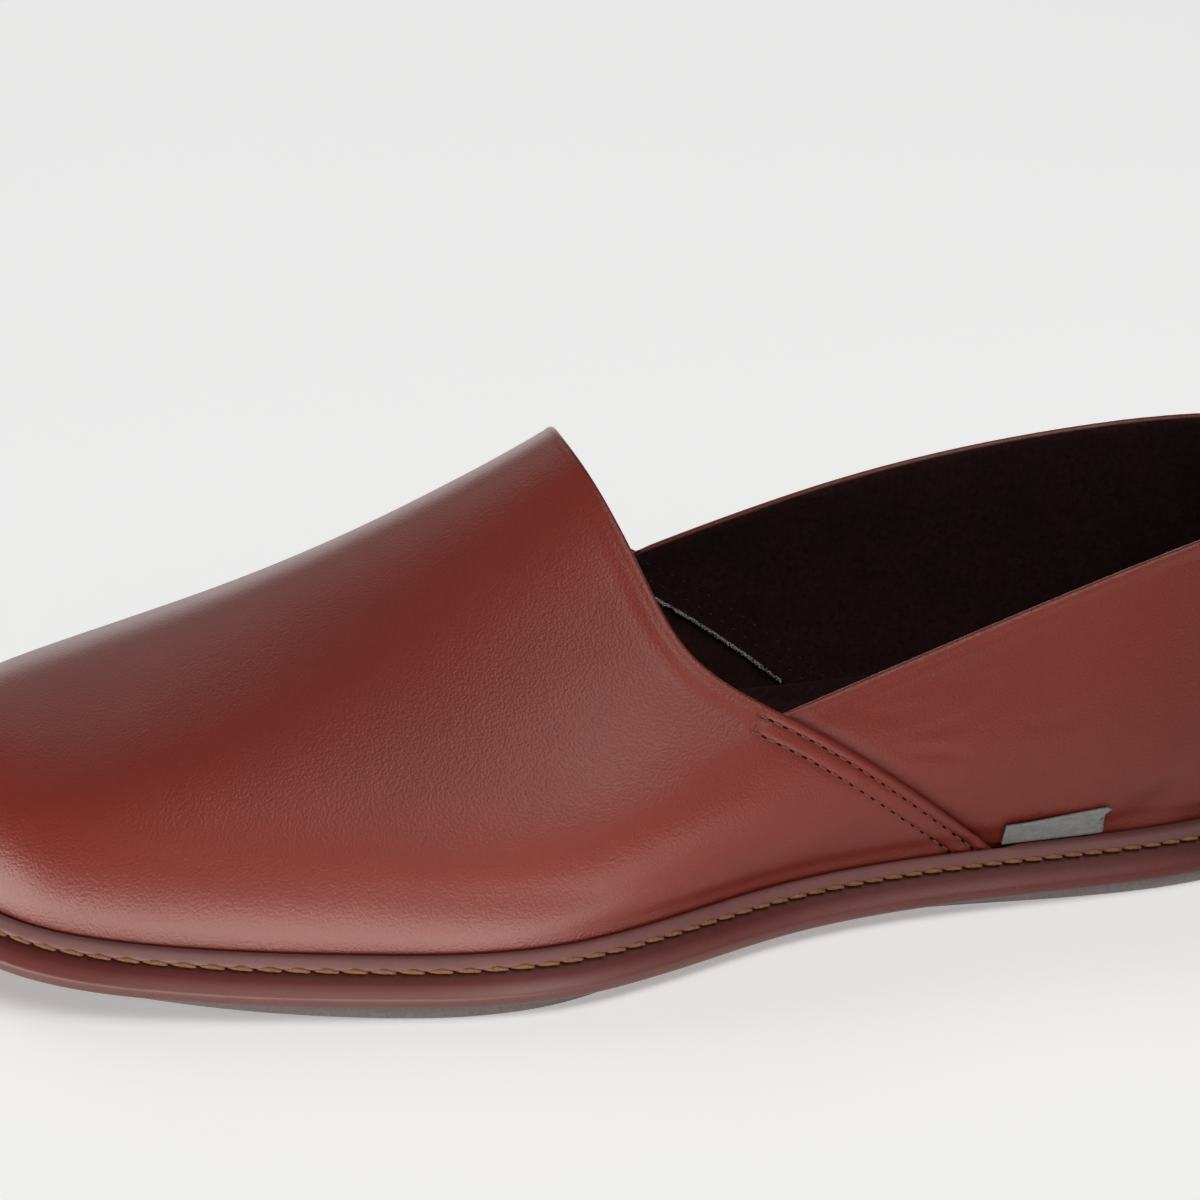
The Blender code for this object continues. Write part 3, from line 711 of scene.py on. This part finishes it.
def makeQuarter():
    look = quarterSheet
    edgeCount, spread = look["edgeRows"]
    gaps = edgeRows[:edgeCount] * spread
    climbs, face, normal, gap, _ = panelGrid(quarter, look["columns"], gaps, look["coarseRows"])
    away = np.minimum(nearestOn(seamLateral, face)[0], nearestOn(seamMedial, face)[0])
    relief = ridge(gap, look["bead"]) + ridge(gap, look["dip"]) + ridge(away, look["lap"])
    relief += softNoise(face, look["hand"], 2) * ease(gap, *look["handGap"])
    relief += creaseRelief(face) * ease(away, *look["creaseGap"]) * ease(gap, *look["creaseGap"])
    roll = look["thickness"] / 2
    depth = look["depth"] + turnIn(roll, gap) - relief + ridge(face[..., 2], look["tuck"])
    outer = face - normal * depth[..., None]
    rows = backRows(len(climbs))
    depth = look["depth"] + look["thickness"] - turnIn(look["thickness"] - roll, gap[rows])
    inner = face[rows] - normal[rows] * depth[..., None]
    section = closedSheet(outer, inner)
    further = look["behindVamp"] * (look["columns"] - 1)
    first = section[:1] - (section[1:2] - section[:1]) * further
    last = section[-1:] + (section[-1:] - section[-2:-1]) * further
    section = np.concatenate([first, section, last])
    gridPiece("quarterLeather", section, upperLeather, "upper")


makeQuarter()

# Linings: short-pile felt inside both panels. The quarter's lining runs on ahead of the seam to a raw edge.
liningSheet = {
    "columns": 220,
    "vampDepth": (1.40 * mm, 2.40 * mm),
    "vampGaps": np.array([0, .2, .5, 1.0, 2.0, 4.0, 7.0, 11.0]) * mm,
    "vampRows": 44,
    "vampRound": (0.5 * mm, 0.9 * mm, 0.35 * mm),
    "belowEdge": 0.9 * mm,
    "belowSeam": 1.7 * mm,
    "quarterDepth": (2.25 * mm, 3.40 * mm),
    "quarterGaps": np.array([0, .2, .5, 1.0, 2.0, 4.0, 7.0]) * mm,
    "quarterRows": 30,
    "quarterRound": (0.55 * mm, 0.35 * mm, 0.35 * mm),
    "belowCollar": 0.35 * mm,
    "overlap": 6.0 * mm,
    "overlapColumns": 14,
    "overlapGap": 0.1 * mm,
    "overlapThins": 0.15 * mm,
    "fromFoot": 7.0 * mm,
    "pile": (0.10 * mm, 3 * mm),
    "pileGap": (0, 3 * mm),
}


def surfaceTree(points):  # a tree of a panel's own surface, for placing things on it
    bm = bmesh.new()
    addGrid(bm, points.transpose(1, 0, 2))
    bmesh.ops.remove_doubles(bm, verts=bm.verts, dist=2 * welds["thread"])
    tree = BVHTree.FromBMesh(bm)
    bm.free()
    return tree


vampTree = surfaceTree(vamp.points(*[np.linspace(0, 1, count) for count in sampling["treePlaces"]]))


def onVamp(run, gap):  # a place on the vamp at a distance in from its edge, and the normal there
    nearEdge, below = 0.97, 0.9
    spot, share = vampEdge.at(run), vamp.shareAt(run)
    face = vamp.normals(share, [nearEdge])[0, 0]
    inward = unit(np.cross(vampEdge.along(run), face))
    if np.dot(inward, vamp.points(share, [below])[0, 0] - spot) < 0:
        inward = -inward
    place, normal, _, _ = vampTree.find_nearest(Vector(spot + inward * gap))
    normal = np.array(normal)
    return np.array(place), -normal if np.dot(normal, face) < 0 else normal


def makeVampLining():
    look = liningSheet
    low, high = look["vampDepth"]
    runs = vamp.edgeRun(np.linspace(0, 1, look["columns"]))
    start = look["belowEdge"] + look["belowSeam"] * seamShare(runs)
    _, points, normal, gap, _ = panelGrid(vamp, look["columns"], look["vampGaps"], look["vampRows"], start)
    fuzz = softNoise(points, look["pile"], 3) * ease(gap, *look["pileGap"])
    inner = points - normal * (high - ridge(gap, look["vampRound"]) + fuzz)[..., None]
    keep = np.where((runs > look["fromFoot"]) & (runs < vampEdge.length - look["fromFoot"]))[0]
    section = closedSheet(points - normal * low, inner)[keep]
    gridPiece("vampLining", section, liningFelt, "upper")


def makeQuarterLining():
    look = liningSheet
    low, high = look["quarterDepth"]
    gaps = look["quarterGaps"] + look["belowCollar"]
    climbs, points, normal, gap, _ = panelGrid(quarter, look["columns"], gaps, look["quarterRows"])
    fuzz = softNoise(points, look["pile"], 4)
    outer = points - normal * low
    inner = points - normal * (high - ridge(gap, look["quarterRound"]) + fuzz)[..., None]
    ahead = np.linspace(0, 1, look["overlapColumns"] + 1)[1:] * look["overlap"]
    faceDepth = look["vampDepth"][1] + look["overlapGap"]
    insideDepth = high - look["overlapThins"] * (ahead / look["overlap"]) ** 2
    wings = []
    for column, upSeam in ((0, seamLateral.run), (-1, seamMedial.length - seamMedial.run[::-1])):
        runs = np.interp(climbs[:, column], climbFine, upSeam)
        runs = vampEdge.length - runs if column else runs
        spots = np.array([[onVamp(run, distance) for distance in ahead] for run in runs])
        place, facing = spots[:, :, 0], spots[:, :, 1]
        wings.append((place - facing * faceDepth, place - facing * insideDepth[:, None]))
    (leftFace, leftInside), (rightFace, rightInside) = wings
    outer = np.concatenate([leftFace[:, ::-1], outer, rightFace], axis=1)
    inner = np.concatenate([leftInside[:, ::-1], inner, rightInside], axis=1)
    section = closedSheet(outer, inner)
    gridPiece("quarterLining", section, liningFelt, "upper", closeEnds=True)


makeVampLining()
makeQuarterLining()

# Stitching: short twisted threads, each bent down into its holes
threadShape = {
    "arch": 0.7,  # the lower, the squarer
    "endSize": 0.35,
    "plyDepth": 0.13,
    "flatness": 0.85,
}


def addStitch(bm, start, end, facing, radius, sink, around=7, along=8, twist=2.2, blunt=0.45):
    look = threadShape
    start, end, facing = Vector(start), Vector(end), Vector(facing).normalized()
    way = end - start
    side = way.cross(facing).normalized()
    points = np.zeros((around + 1, along + 1, 3))
    for row in range(along + 1):
        t = row / along
        belly = math.sin(math.pi * t)
        centre = start + way * t + facing * (sink * (belly ** look["arch"] - 1))
        size = radius * (look["endSize"] + (1 - look["endSize"]) * belly ** blunt)
        for column in range(around + 1):
            angle = 2 * math.pi * column / around
            ply = 1 + look["plyDepth"] * math.cos(2 * angle + twist * 2 * math.pi * t)
            reach = side * math.cos(angle) + facing * math.sin(angle) * look["flatness"]
            points[column, row] = centre + reach * size * ply
    addGrid(bm, points)


seamStitch = {
    "pitch": 2.7 * mm,
    "length": 1.75 * mm,
    "radius": 0.20 * mm,
    "sink": 0.16 * mm,
    "settle": 0.6,  # how deep the threads lie, in depths of the channel
    "start": (2.4 * mm, 0.9),  # above the welt, and more by this share of the row's gap
    "pastEnd": 0.2 * mm,
    "cap": (0.3 * mm, 0.75 * mm, 0.6 * mm),  # the top stitches: past the join, in from the rows, half length
    "capSettle": 0.4,
    "hole": (0.62 * mm, 0.23 * mm, 0.11 * mm),
    "holeSettle": 0.98,
    "insideLength": 0.8 * mm,
    "insideRadius": 0.14 * mm,
    "insideSink": 0.08 * mm,
    "insideLift": -3.40 * mm,
    "insideShift": 1.6 * mm,  # the needle leans towards the seam
    "insideFrom": 9 * mm,
}


def seamRuns(gap):  # stitch places along a row on both sides, from the welt up
    above, slant = seamStitch["start"]
    past = vampSheet["pastJoin"] + seamStitch["pastEnd"]
    lateral, medial = [np.arange(gap * slant + above, seam.length + past, seamStitch["pitch"])
                       for seam in (seamLateral, seamMedial)]
    return np.concatenate([lateral, vampEdge.length - medial])


def sewOn(bm, first, last, settle):  # a stitch on the vamp between two places of run and gap
    (start, facing), (end, other) = onVamp(*first), onVamp(*last)
    facing = unit(facing + other)
    drop = facing * vampSheet["channel"] * settle
    addStitch(bm, start - drop, end - drop, facing, seamStitch["radius"], seamStitch["sink"])
    return end - start


def addHole(bm, place, way, facing, size):  # a flat dark blob where the needle went in: painted shade of the hole
    way, facing = Vector(way).normalized(), Vector(facing).normalized()
    side = facing.cross(way)
    turn = Matrix((way * size[0], side * size[1], facing * size[2])).transposed().to_4x4()
    turn.translation = Vector(place)
    bmesh.ops.create_uvsphere(bm, u_segments=8, v_segments=5, radius=1.0, matrix=turn)


def makeSeamStitches():
    look = seamStitch
    outside, inside, holes = bmesh.new(), bmesh.new(), bmesh.new()
    half = look["length"] / 2
    for gap in vampSheet["rows"]:
        for run in seamRuns(gap):
            way = sewOn(outside, (run - half, gap), (run + half, gap), look["settle"])
            pit, normal = onVamp(run + look["pitch"] / 2, gap)
            addHole(holes, pit - normal * vampSheet["channel"] * look["holeSettle"], way, normal, look["hole"])
            if look["insideFrom"] < run < vampEdge.length - look["insideFrom"]:
                middle, facing = onVamp(run, gap - look["insideShift"])
                middle = middle + facing * look["insideLift"]
                reach = way * look["insideLength"] / look["length"] / 2
                addStitch(inside, middle - reach, middle + reach, -facing,
                          look["insideRadius"], look["insideSink"])
    past, inset, half = look["cap"]
    low, high = vampSheet["rows"]
    for run in (throatStart + vampSheet["pastJoin"] + past, throatEnd - vampSheet["pastJoin"] - past):
        for place in (low + inset, high - inset):
            sewOn(outside, (run, place - half), (run, place + half), look["capSettle"])
    finishPiece("seamStitches", outside, seamThread)
    finishPiece("seamHoleShade", holes, needleHoleShade)
    finishPiece("liningStitches", inside, liningThread)


makeSeamStitches()

# Raw front edge of the quarter's lining, inside the vamp: a thin line of pale fibres
rawEdge = {
    "climbs": (0.28, 0.99),  # along the seam, from the welt up
    "fibres": 620,
    "length": 0.715 * mm,
    "radius": 0.08 * mm,
    "arch": -0.15 * mm,
    "gaps": (-0.2 * mm, 1.0 * mm),  # of the roots and the way they point, past the lining's front
    "depth": (2.6 * mm, 0.75 * mm),  # least, and how much more
    "forward": (0.4, 0.6),
    "lean": 1.4,
    "inward": 0.4,
    "seed": 11,
}


def makeRawEdge():
    look = rawEdge
    (low, high), (deep, deeper), (ahead, further) = look["climbs"], look["depth"], look["forward"]
    near, far = [liningSheet["overlap"] + gap for gap in look["gaps"]]
    rng = np.random.default_rng(look["seed"])
    bm = bmesh.new()
    for foot, top in ((0, throatStart), (vampEdge.length, throatEnd)):
        for _ in range(look["fibres"]):
            run = foot + (top - foot) * (low + (high - low) * rng.random())
            spot, facing = onVamp(run, near)
            forward = unit(onVamp(run, far)[0] - spot)
            aside = vampEdge.along(run) * rng.normal(0, look["lean"])
            root = spot - facing * (deep + deeper * rng.random())
            way = forward * (ahead + further * rng.random()) + aside
            way = way - facing * look["inward"] * rng.random()
            addStitch(bm, root, root + way * look["length"], -facing, look["radius"], look["arch"],
                      around=4, along=3, twist=0)
    finishPiece("rawEdgeFibres", bm, rawFibre, weld="fibre")


makeRawEdge()

# Welt strip, stitched groove and platform cover. Their columns keep step with the stitches.
weltStitch = {
    "pitch": 4.6 * mm,
    "tighter": 0.78,  # the pitch behind the ball, as a share of the toe's
    "pitchAlong": (0.52 * shoeLength, 0.70 * shoeLength),
    "length": 0.88,  # as a share of the pitch
    "radius": 0.42 * mm,
    "sink": 0.30 * mm,
    "twist": 1.6,
    "blunt": 0.10,
    "offset": -2.35 * mm,
    "height": 8.75 * mm,
    "slope": (0.16 * mm, 0.064 * mm),  # in and up from one end to the other
    "facing": (0.72, 0.70),  # out and up
    "columns": 4,
    "pinchWidth": 0.13,
}
fineRuns = np.linspace(0, outline.length, sampling["outlinePlaces"])
stitchLine = Path(besideOutline(fineRuns, weltStitch["offset"], weltStitch["height"]))
stitchPace = ease(outline.at(fineRuns)[:, 0], *weltStitch["pitchAlong"])
stitchPace = weltStitch["pitch"] * (weltStitch["tighter"] + (1 - weltStitch["tighter"]) * stitchPace)
stitchesPassed = np.append(0.0, np.cumsum(np.diff(stitchLine.run) * 2 / (stitchPace[1:] + stitchPace[:-1])))
stitchCount = round(stitchesPassed[-1])
stitchesPassed *= stitchCount / stitchesPassed[-1]
stitchPlaces = np.arange(stitchCount * weltStitch["columns"] + 1) / weltStitch["columns"]
ringRuns = np.interp(stitchPlaces, stitchesPassed, fineRuns)
stitchPhase = stitchPlaces % 1.0
ringPinch = np.maximum(bell(stitchPhase, 0.0, weltStitch["pinchWidth"]),  # 1 where a stitch goes in
                       bell(stitchPhase, 1.0, weltStitch["pinchWidth"]))

weltStrip = {
    "profile": [  # offset from the outline, height: from the groove up and over to the wall
        (-2.55, 8.40), (-2.35, 8.62), (-2.30, 8.95), (-2.45, 9.25), (-2.75, 9.62), (-3.15, 10.02), (-3.55, 10.30),
    ],
    "wallGap": 0.28 * mm,
    "rise": 2.2 * mm,
    "lip": (0.25 * mm, 0.3 * mm),  # out from the wall, and its thickness
    "pinch": 0.28 * mm,
    "pinchRings": 4,
    "pinchLift": 0.3,
    "lapRun": 4 * mm,  # steps in from the vamp to the quarter over this run
}


def wallFoot(run):  # the lean of the wall beside a place on the outline, and its depth below the vamp
    lateral, medial = vamp.footLateral, vamp.footMedial
    ahead = (run > lateral) & (run < medial)
    shareVamp = np.interp(run, [lateral, tipRun, medial], [0, 0.5, 1])
    shareQuarter = np.interp(run, [0, lateral, medial, outline.length], [0.5, 0, 1, 0.5])
    shape = np.where(ahead[:, None], vamp.shape(shareVamp), quarter.shape(shareQuarter))
    near = np.minimum(np.abs(run - lateral), np.abs(run - medial))
    depth = np.where(ahead, 0.0, quarterSheet["depth"] * ease(near, 0, weltStrip["lapRun"]))
    return shape[:, 0] / shape[:, 1], depth


def makeWelt():
    look = weltStrip
    dent = ringPinch * look["pinch"]
    lean, depth = wallFoot(ringRuns)
    rings = []
    for index, (offset, height) in enumerate(look["profile"]):
        pull = dent * max(0.0, 1 - index / look["pinchRings"])
        rings.append(besideOutline(ringRuns, offset * mm - pull, height * mm + pull * look["pinchLift"]))
    foot = look["wallGap"] - lastShape["featherInset"] - depth
    lipOut, lipThick = look["lip"]
    for rise, out in ((look["rise"], lipOut), (look["rise"] - lipThick, 0.0), (0.0, 0.0)):
        rings.append(besideOutline(ringRuns, foot + rise * lean + out, lastShape["featherHeight"] + rise))
    gridPiece("weltStrip", np.stack(rings + rings[:1], axis=1), weltLeatherPaintedSheen, "welt")


platformCover = {
    "profile": [  # from under the edge, round the low ridge, up the hollow side to the groove
        (-9.0, 2.5), (-4.0, 2.5), (-2.2, 2.5), (-1.4, 2.6), (-0.85, 2.8), (-0.46, 3.1), (-0.24, 3.45),
        (-0.12, 3.85), (-0.04, 4.25), (0.0, 4.55), (-0.06, 4.82), (-0.22, 5.1), (-0.48, 5.45), (-0.82, 5.9),
        (-1.2, 6.4), (-1.6, 6.9), (-2.02, 7.35), (-2.4, 7.72), (-2.72, 8.0), (-3.2, 8.22), (-4.2, 8.2),
    ],
    "pinch": 0.30 * mm,
    "pinchAt": (8.0, 0.55, -3.0),  # height and half width, and the offset where it stops, in mm
    "hand": (0.10 * mm, 14 * mm),
    "handHeights": (2.6, 7.8),
}
spineInset = 16 * mm


def spineLine(runs, height):  # the middle line, where the columns of both sides meet
    other = np.interp(runs, [0, tipRun, outline.length], [outline.length, tipRun, 0])
    return (besideOutline(runs, -spineInset, height) + besideOutline(other, -spineInset, height)) / 2


def layerRings(runs, profile):
    rings = [besideOutline(runs, offset, height) for offset, height in profile]
    return np.stack([spineLine(runs, profile[0][1]), *rings, spineLine(runs, profile[-1][1])], axis=1)


def makePlatform():
    look = platformCover
    middle, width, inmost = look["pinchAt"]
    low, high = look["handHeights"]
    profile = []
    for offset, height in look["profile"]:
        dent = ringPinch * look["pinch"] * bell(height, middle, width) * (offset > inmost)
        wave = softNoise(besideOutline(ringRuns, 0.0, height * mm), look["hand"], 5) * (low < height < high)
        profile.append((offset * mm - dent + wave, height * mm))
    gridPiece("platformCover", layerRings(ringRuns, profile), coverLeather, "midsole")


def makeWeltStitches():
    look = weltStitch
    slopeIn, slopeUp = look["slope"]
    bm = bmesh.new()
    for index in range(stitchCount):
        ends = []
        for turn in (-1, 1):
            run = np.interp([index + 0.5 + turn * look["length"] / 2], stitchesPassed, fineRuns)
            ends.append(besideOutline(run, look["offset"] - turn * slopeIn, look["height"] + turn * slopeUp)[0])
        facing = outward(run)[0] * look["facing"][0] + up * look["facing"][1]
        addStitch(bm, *ends, facing, look["radius"], look["sink"], twist=look["twist"], blunt=look["blunt"])
    finishPiece("weltStitches", bm, weltThread)


makeWelt()
makePlatform()
makeWeltStitches()

# Outsole: thin and cut back from the platform, most at the waist and the toe
outsoleCut = {
    "alongs": (0.00, 0.30, 0.43, 0.52, 0.62, 0.80, 0.90, 1.00),
    "insets": (3.8, 3.8, 7.5, 7.5, 3.8, 3.8, 7.0, 9.0),
    "thickness": 2.2 * mm,
    "bevel": (0.5 * mm, 0.15 * mm),  # its size, and its rounding
    "topEdge": (0.15 * mm, 0.2 * mm),
    "under": 8 * mm,
    "columns": 420,
}


def makeOutsole():
    look = outsoleCut
    runs = np.linspace(0, outline.length, look["columns"] + 1)
    table, _ = smoothCurve(np.array(look["insets"])[:, None] * mm, knots=look["alongs"])
    edge = -table(outline.at(runs)[:, 0] / shoeLength)[:, 0]
    (bevel, rounding), (topIn, topDown), top = look["bevel"], look["topEdge"], look["thickness"]
    profile = [(edge - look["under"], 0.0), (edge - bevel, 0.0), (edge - rounding, rounding), (edge, bevel),
               (edge, top - topDown), (edge - topIn, top)]
    gridPiece("outsoleSheet", layerRings(runs, profile), outsoleRubber, "outsole")


insoleSock = {
    "profile": [  # a soft bed, cupped a little up the wall
        (-9.4, 8.5), (-9.1, 10.2), (-8.7, 12.0), (-8.45, 13.8), (-8.5, 15.0), (-8.9, 15.8), (-9.6, 16.1),
        (-10.6, 15.9), (-12.2, 15.2), (-14.2, 14.3), (-16.5, 13.6),
    ],
    "columns": 240,
}


def makeInsole():
    runs = np.linspace(0, outline.length, insoleSock["columns"] + 1)
    rings = layerRings(runs, np.array(insoleSock["profile"]) * mm)
    gridPiece("insoleSock", rings, liningFelt, "insole")


makeOutsole()
makeInsole()

# Blank cloth tab at the foot of the outer quarter, ragged at its back end
tabPatch = {
    "front": np.array([(0.012, 0.064), (0.0325, 0.172)]),  # share and climb, low and top
    "back": np.array([(0.101, 0.064), (0.126, 0.187)]),
    "columns": 40,
    "rows": 14,
    "gap": 0.25 * mm,
    "thickness": 0.5 * mm,
    "ragged": 0.006,
    "raggedWaves": ((9.0, 0.0, 0.5), (21.0, 1.0, 0.35)),  # pace, shift and size
    "raggedCut": 0.8,
    "lift": (0.5 * mm, 1.5),  # the top edge stands off the leather: how far, how late
    "liftWave": (0.6, 0.4, 5.0, 0.6),  # middle, size, pace and shift
}


def makeTab():
    look = tabPatch
    lift, late = look["lift"]
    middle, size, pace, shift = look["liftWave"]
    face = np.zeros((look["columns"] + 1, look["rows"] + 1, 3))
    back = np.zeros_like(face)
    for row in range(look["rows"] + 1):
        rise = row / look["rows"]
        front, rear = [ends[0] * (1 - rise) + ends[1] * rise for ends in (look["front"], look["back"])]
        waves = sum(math.sin(rise * wave[0] + wave[1]) * wave[2] for wave in look["raggedWaves"])
        rear[0] += look["ragged"] * (waves - look["raggedCut"])
        for column in range(look["columns"] + 1):
            t = column / look["columns"]
            share, climb = front * (1 - t) + rear * t
            facing = quarter.normals(share, [climb])[0, 0]
            wave = lift * rise ** late * (middle + size * math.sin(t * pace + shift))
            back[column, row] = quarterPoint(share, climb) + facing * (look["gap"] - quarterSheet["depth"] + wave)
            face[column, row] = back[column, row] + facing * look["thickness"]
    section = np.concatenate([face, back[:, ::-1], face[:, :1]], axis=1)
    gridPiece("labelTab", section, tabCloth, "label_tab", closeEnds=True)


makeTab()

# Floor, light and camera
shoeMiddle = (0.0, 0.0, 0.03)
studio = {
    "floorSize": 6.0,
    "floorCells": 8,
    "floorColour": (0.90, 0.90, 0.895),
    "floorRoughness": 0.9,
    "floorGlow": 0.30,
    "white": (1.0, 1.0, 1.0, 1.0),
    "world": 0.02,
    "lights": {  # place, aim, width, height, power
        "key": ((-0.662, 0.848, 1.722), shoeMiddle, 1.20, 1.00, 11.0),
        "front": ((-0.179, 1.273, 1.562), shoeMiddle, 1.20, 0.72, 10.4),
        "low": ((0.340, 0.580, 0.018), (0.06, 0.0, 0.018), 0.60, 0.07, 0.9),
        "lowToe": ((0.720, 0.120, 0.040), (0.08, 0.0, 0.03), 0.50, 0.10, 1.3),
        "fill": ((-0.250, 1.800, 0.800), shoeMiddle, 2.40, 0.65, 4.0),
        "ground": ((0.105, 0.185, 0.003), (0.105, 0.185, 1.0), 0.38, 0.27, 0.55),
        "groundToe": ((0.225, 0.040, 0.002), (0.225, 0.040, 1.0), 0.17, 0.24, 0.24),
        "top": ((0.397, -1.223, 1.562), shoeMiddle, 1.60, 1.00, 7.2),
        "rim": ((0.0, -2.0, 0.35), shoeMiddle, 3.00, 0.60, 12.0),
    },
}
photoCamera = {
    "place": (0.19764, 0.65810, 0.33603),
    "aim": (-0.00327, -0.04957, 0.0283),
    "lens": 131.57,
    "sensor": 36.0,
}


def makeFloor():
    bm = bmesh.new()
    cells = studio["floorCells"]
    bmesh.ops.create_grid(bm, x_segments=cells, y_segments=cells, size=studio["floorSize"] / 2)
    material, tree, shader, _ = newMaterial("paleFloor", studio["floorColour"], studio["floorRoughness"])
    setInputs(tree, shader, {"Specular IOR Level": 0.0, "Emission Color": studio["white"],
                             "Emission Strength": studio["floorGlow"]})
    floor = linkMesh("floor", bm, material)


def linkAimed(name, data, place, aim):
    thing = bpy.data.objects.new(name, data)
    thing.location = place
    thing.rotation_euler = (Vector(aim) - Vector(place)).to_track_quat("-Z", "Y").to_euler()
    bpy.context.scene.collection.objects.link(thing)
    return thing


def makeLight(name, place, aim, width, height, power):
    data = bpy.data.lights.new(name, "AREA")
    data.shape = "ELLIPSE"
    data.size, data.size_y = width, height
    data.energy = power
    linkAimed(name, data, place, aim).visible_camera = False


def makeWorld():
    world = bpy.data.worlds.new("studio")
    world.use_nodes = True
    tree = world.node_tree
    setInputs(tree, tree.nodes["Background"], {"Color": studio["white"], "Strength": studio["world"]})
    bpy.context.scene.world = world
    bpy.context.scene.view_settings.view_transform = "Standard"


def makeCamera():
    data = bpy.data.cameras.new("photoCamera")
    data.sensor_width = photoCamera["sensor"]
    data.lens = photoCamera["lens"]
    bpy.context.scene.camera = linkAimed("photoCamera", data, photoCamera["place"], photoCamera["aim"])


makeFloor()
for lightName, lightRow in studio["lights"].items():
    makeLight(lightName + "Light", *lightRow)
makeWorld()
makeCamera()
print("stage ready")
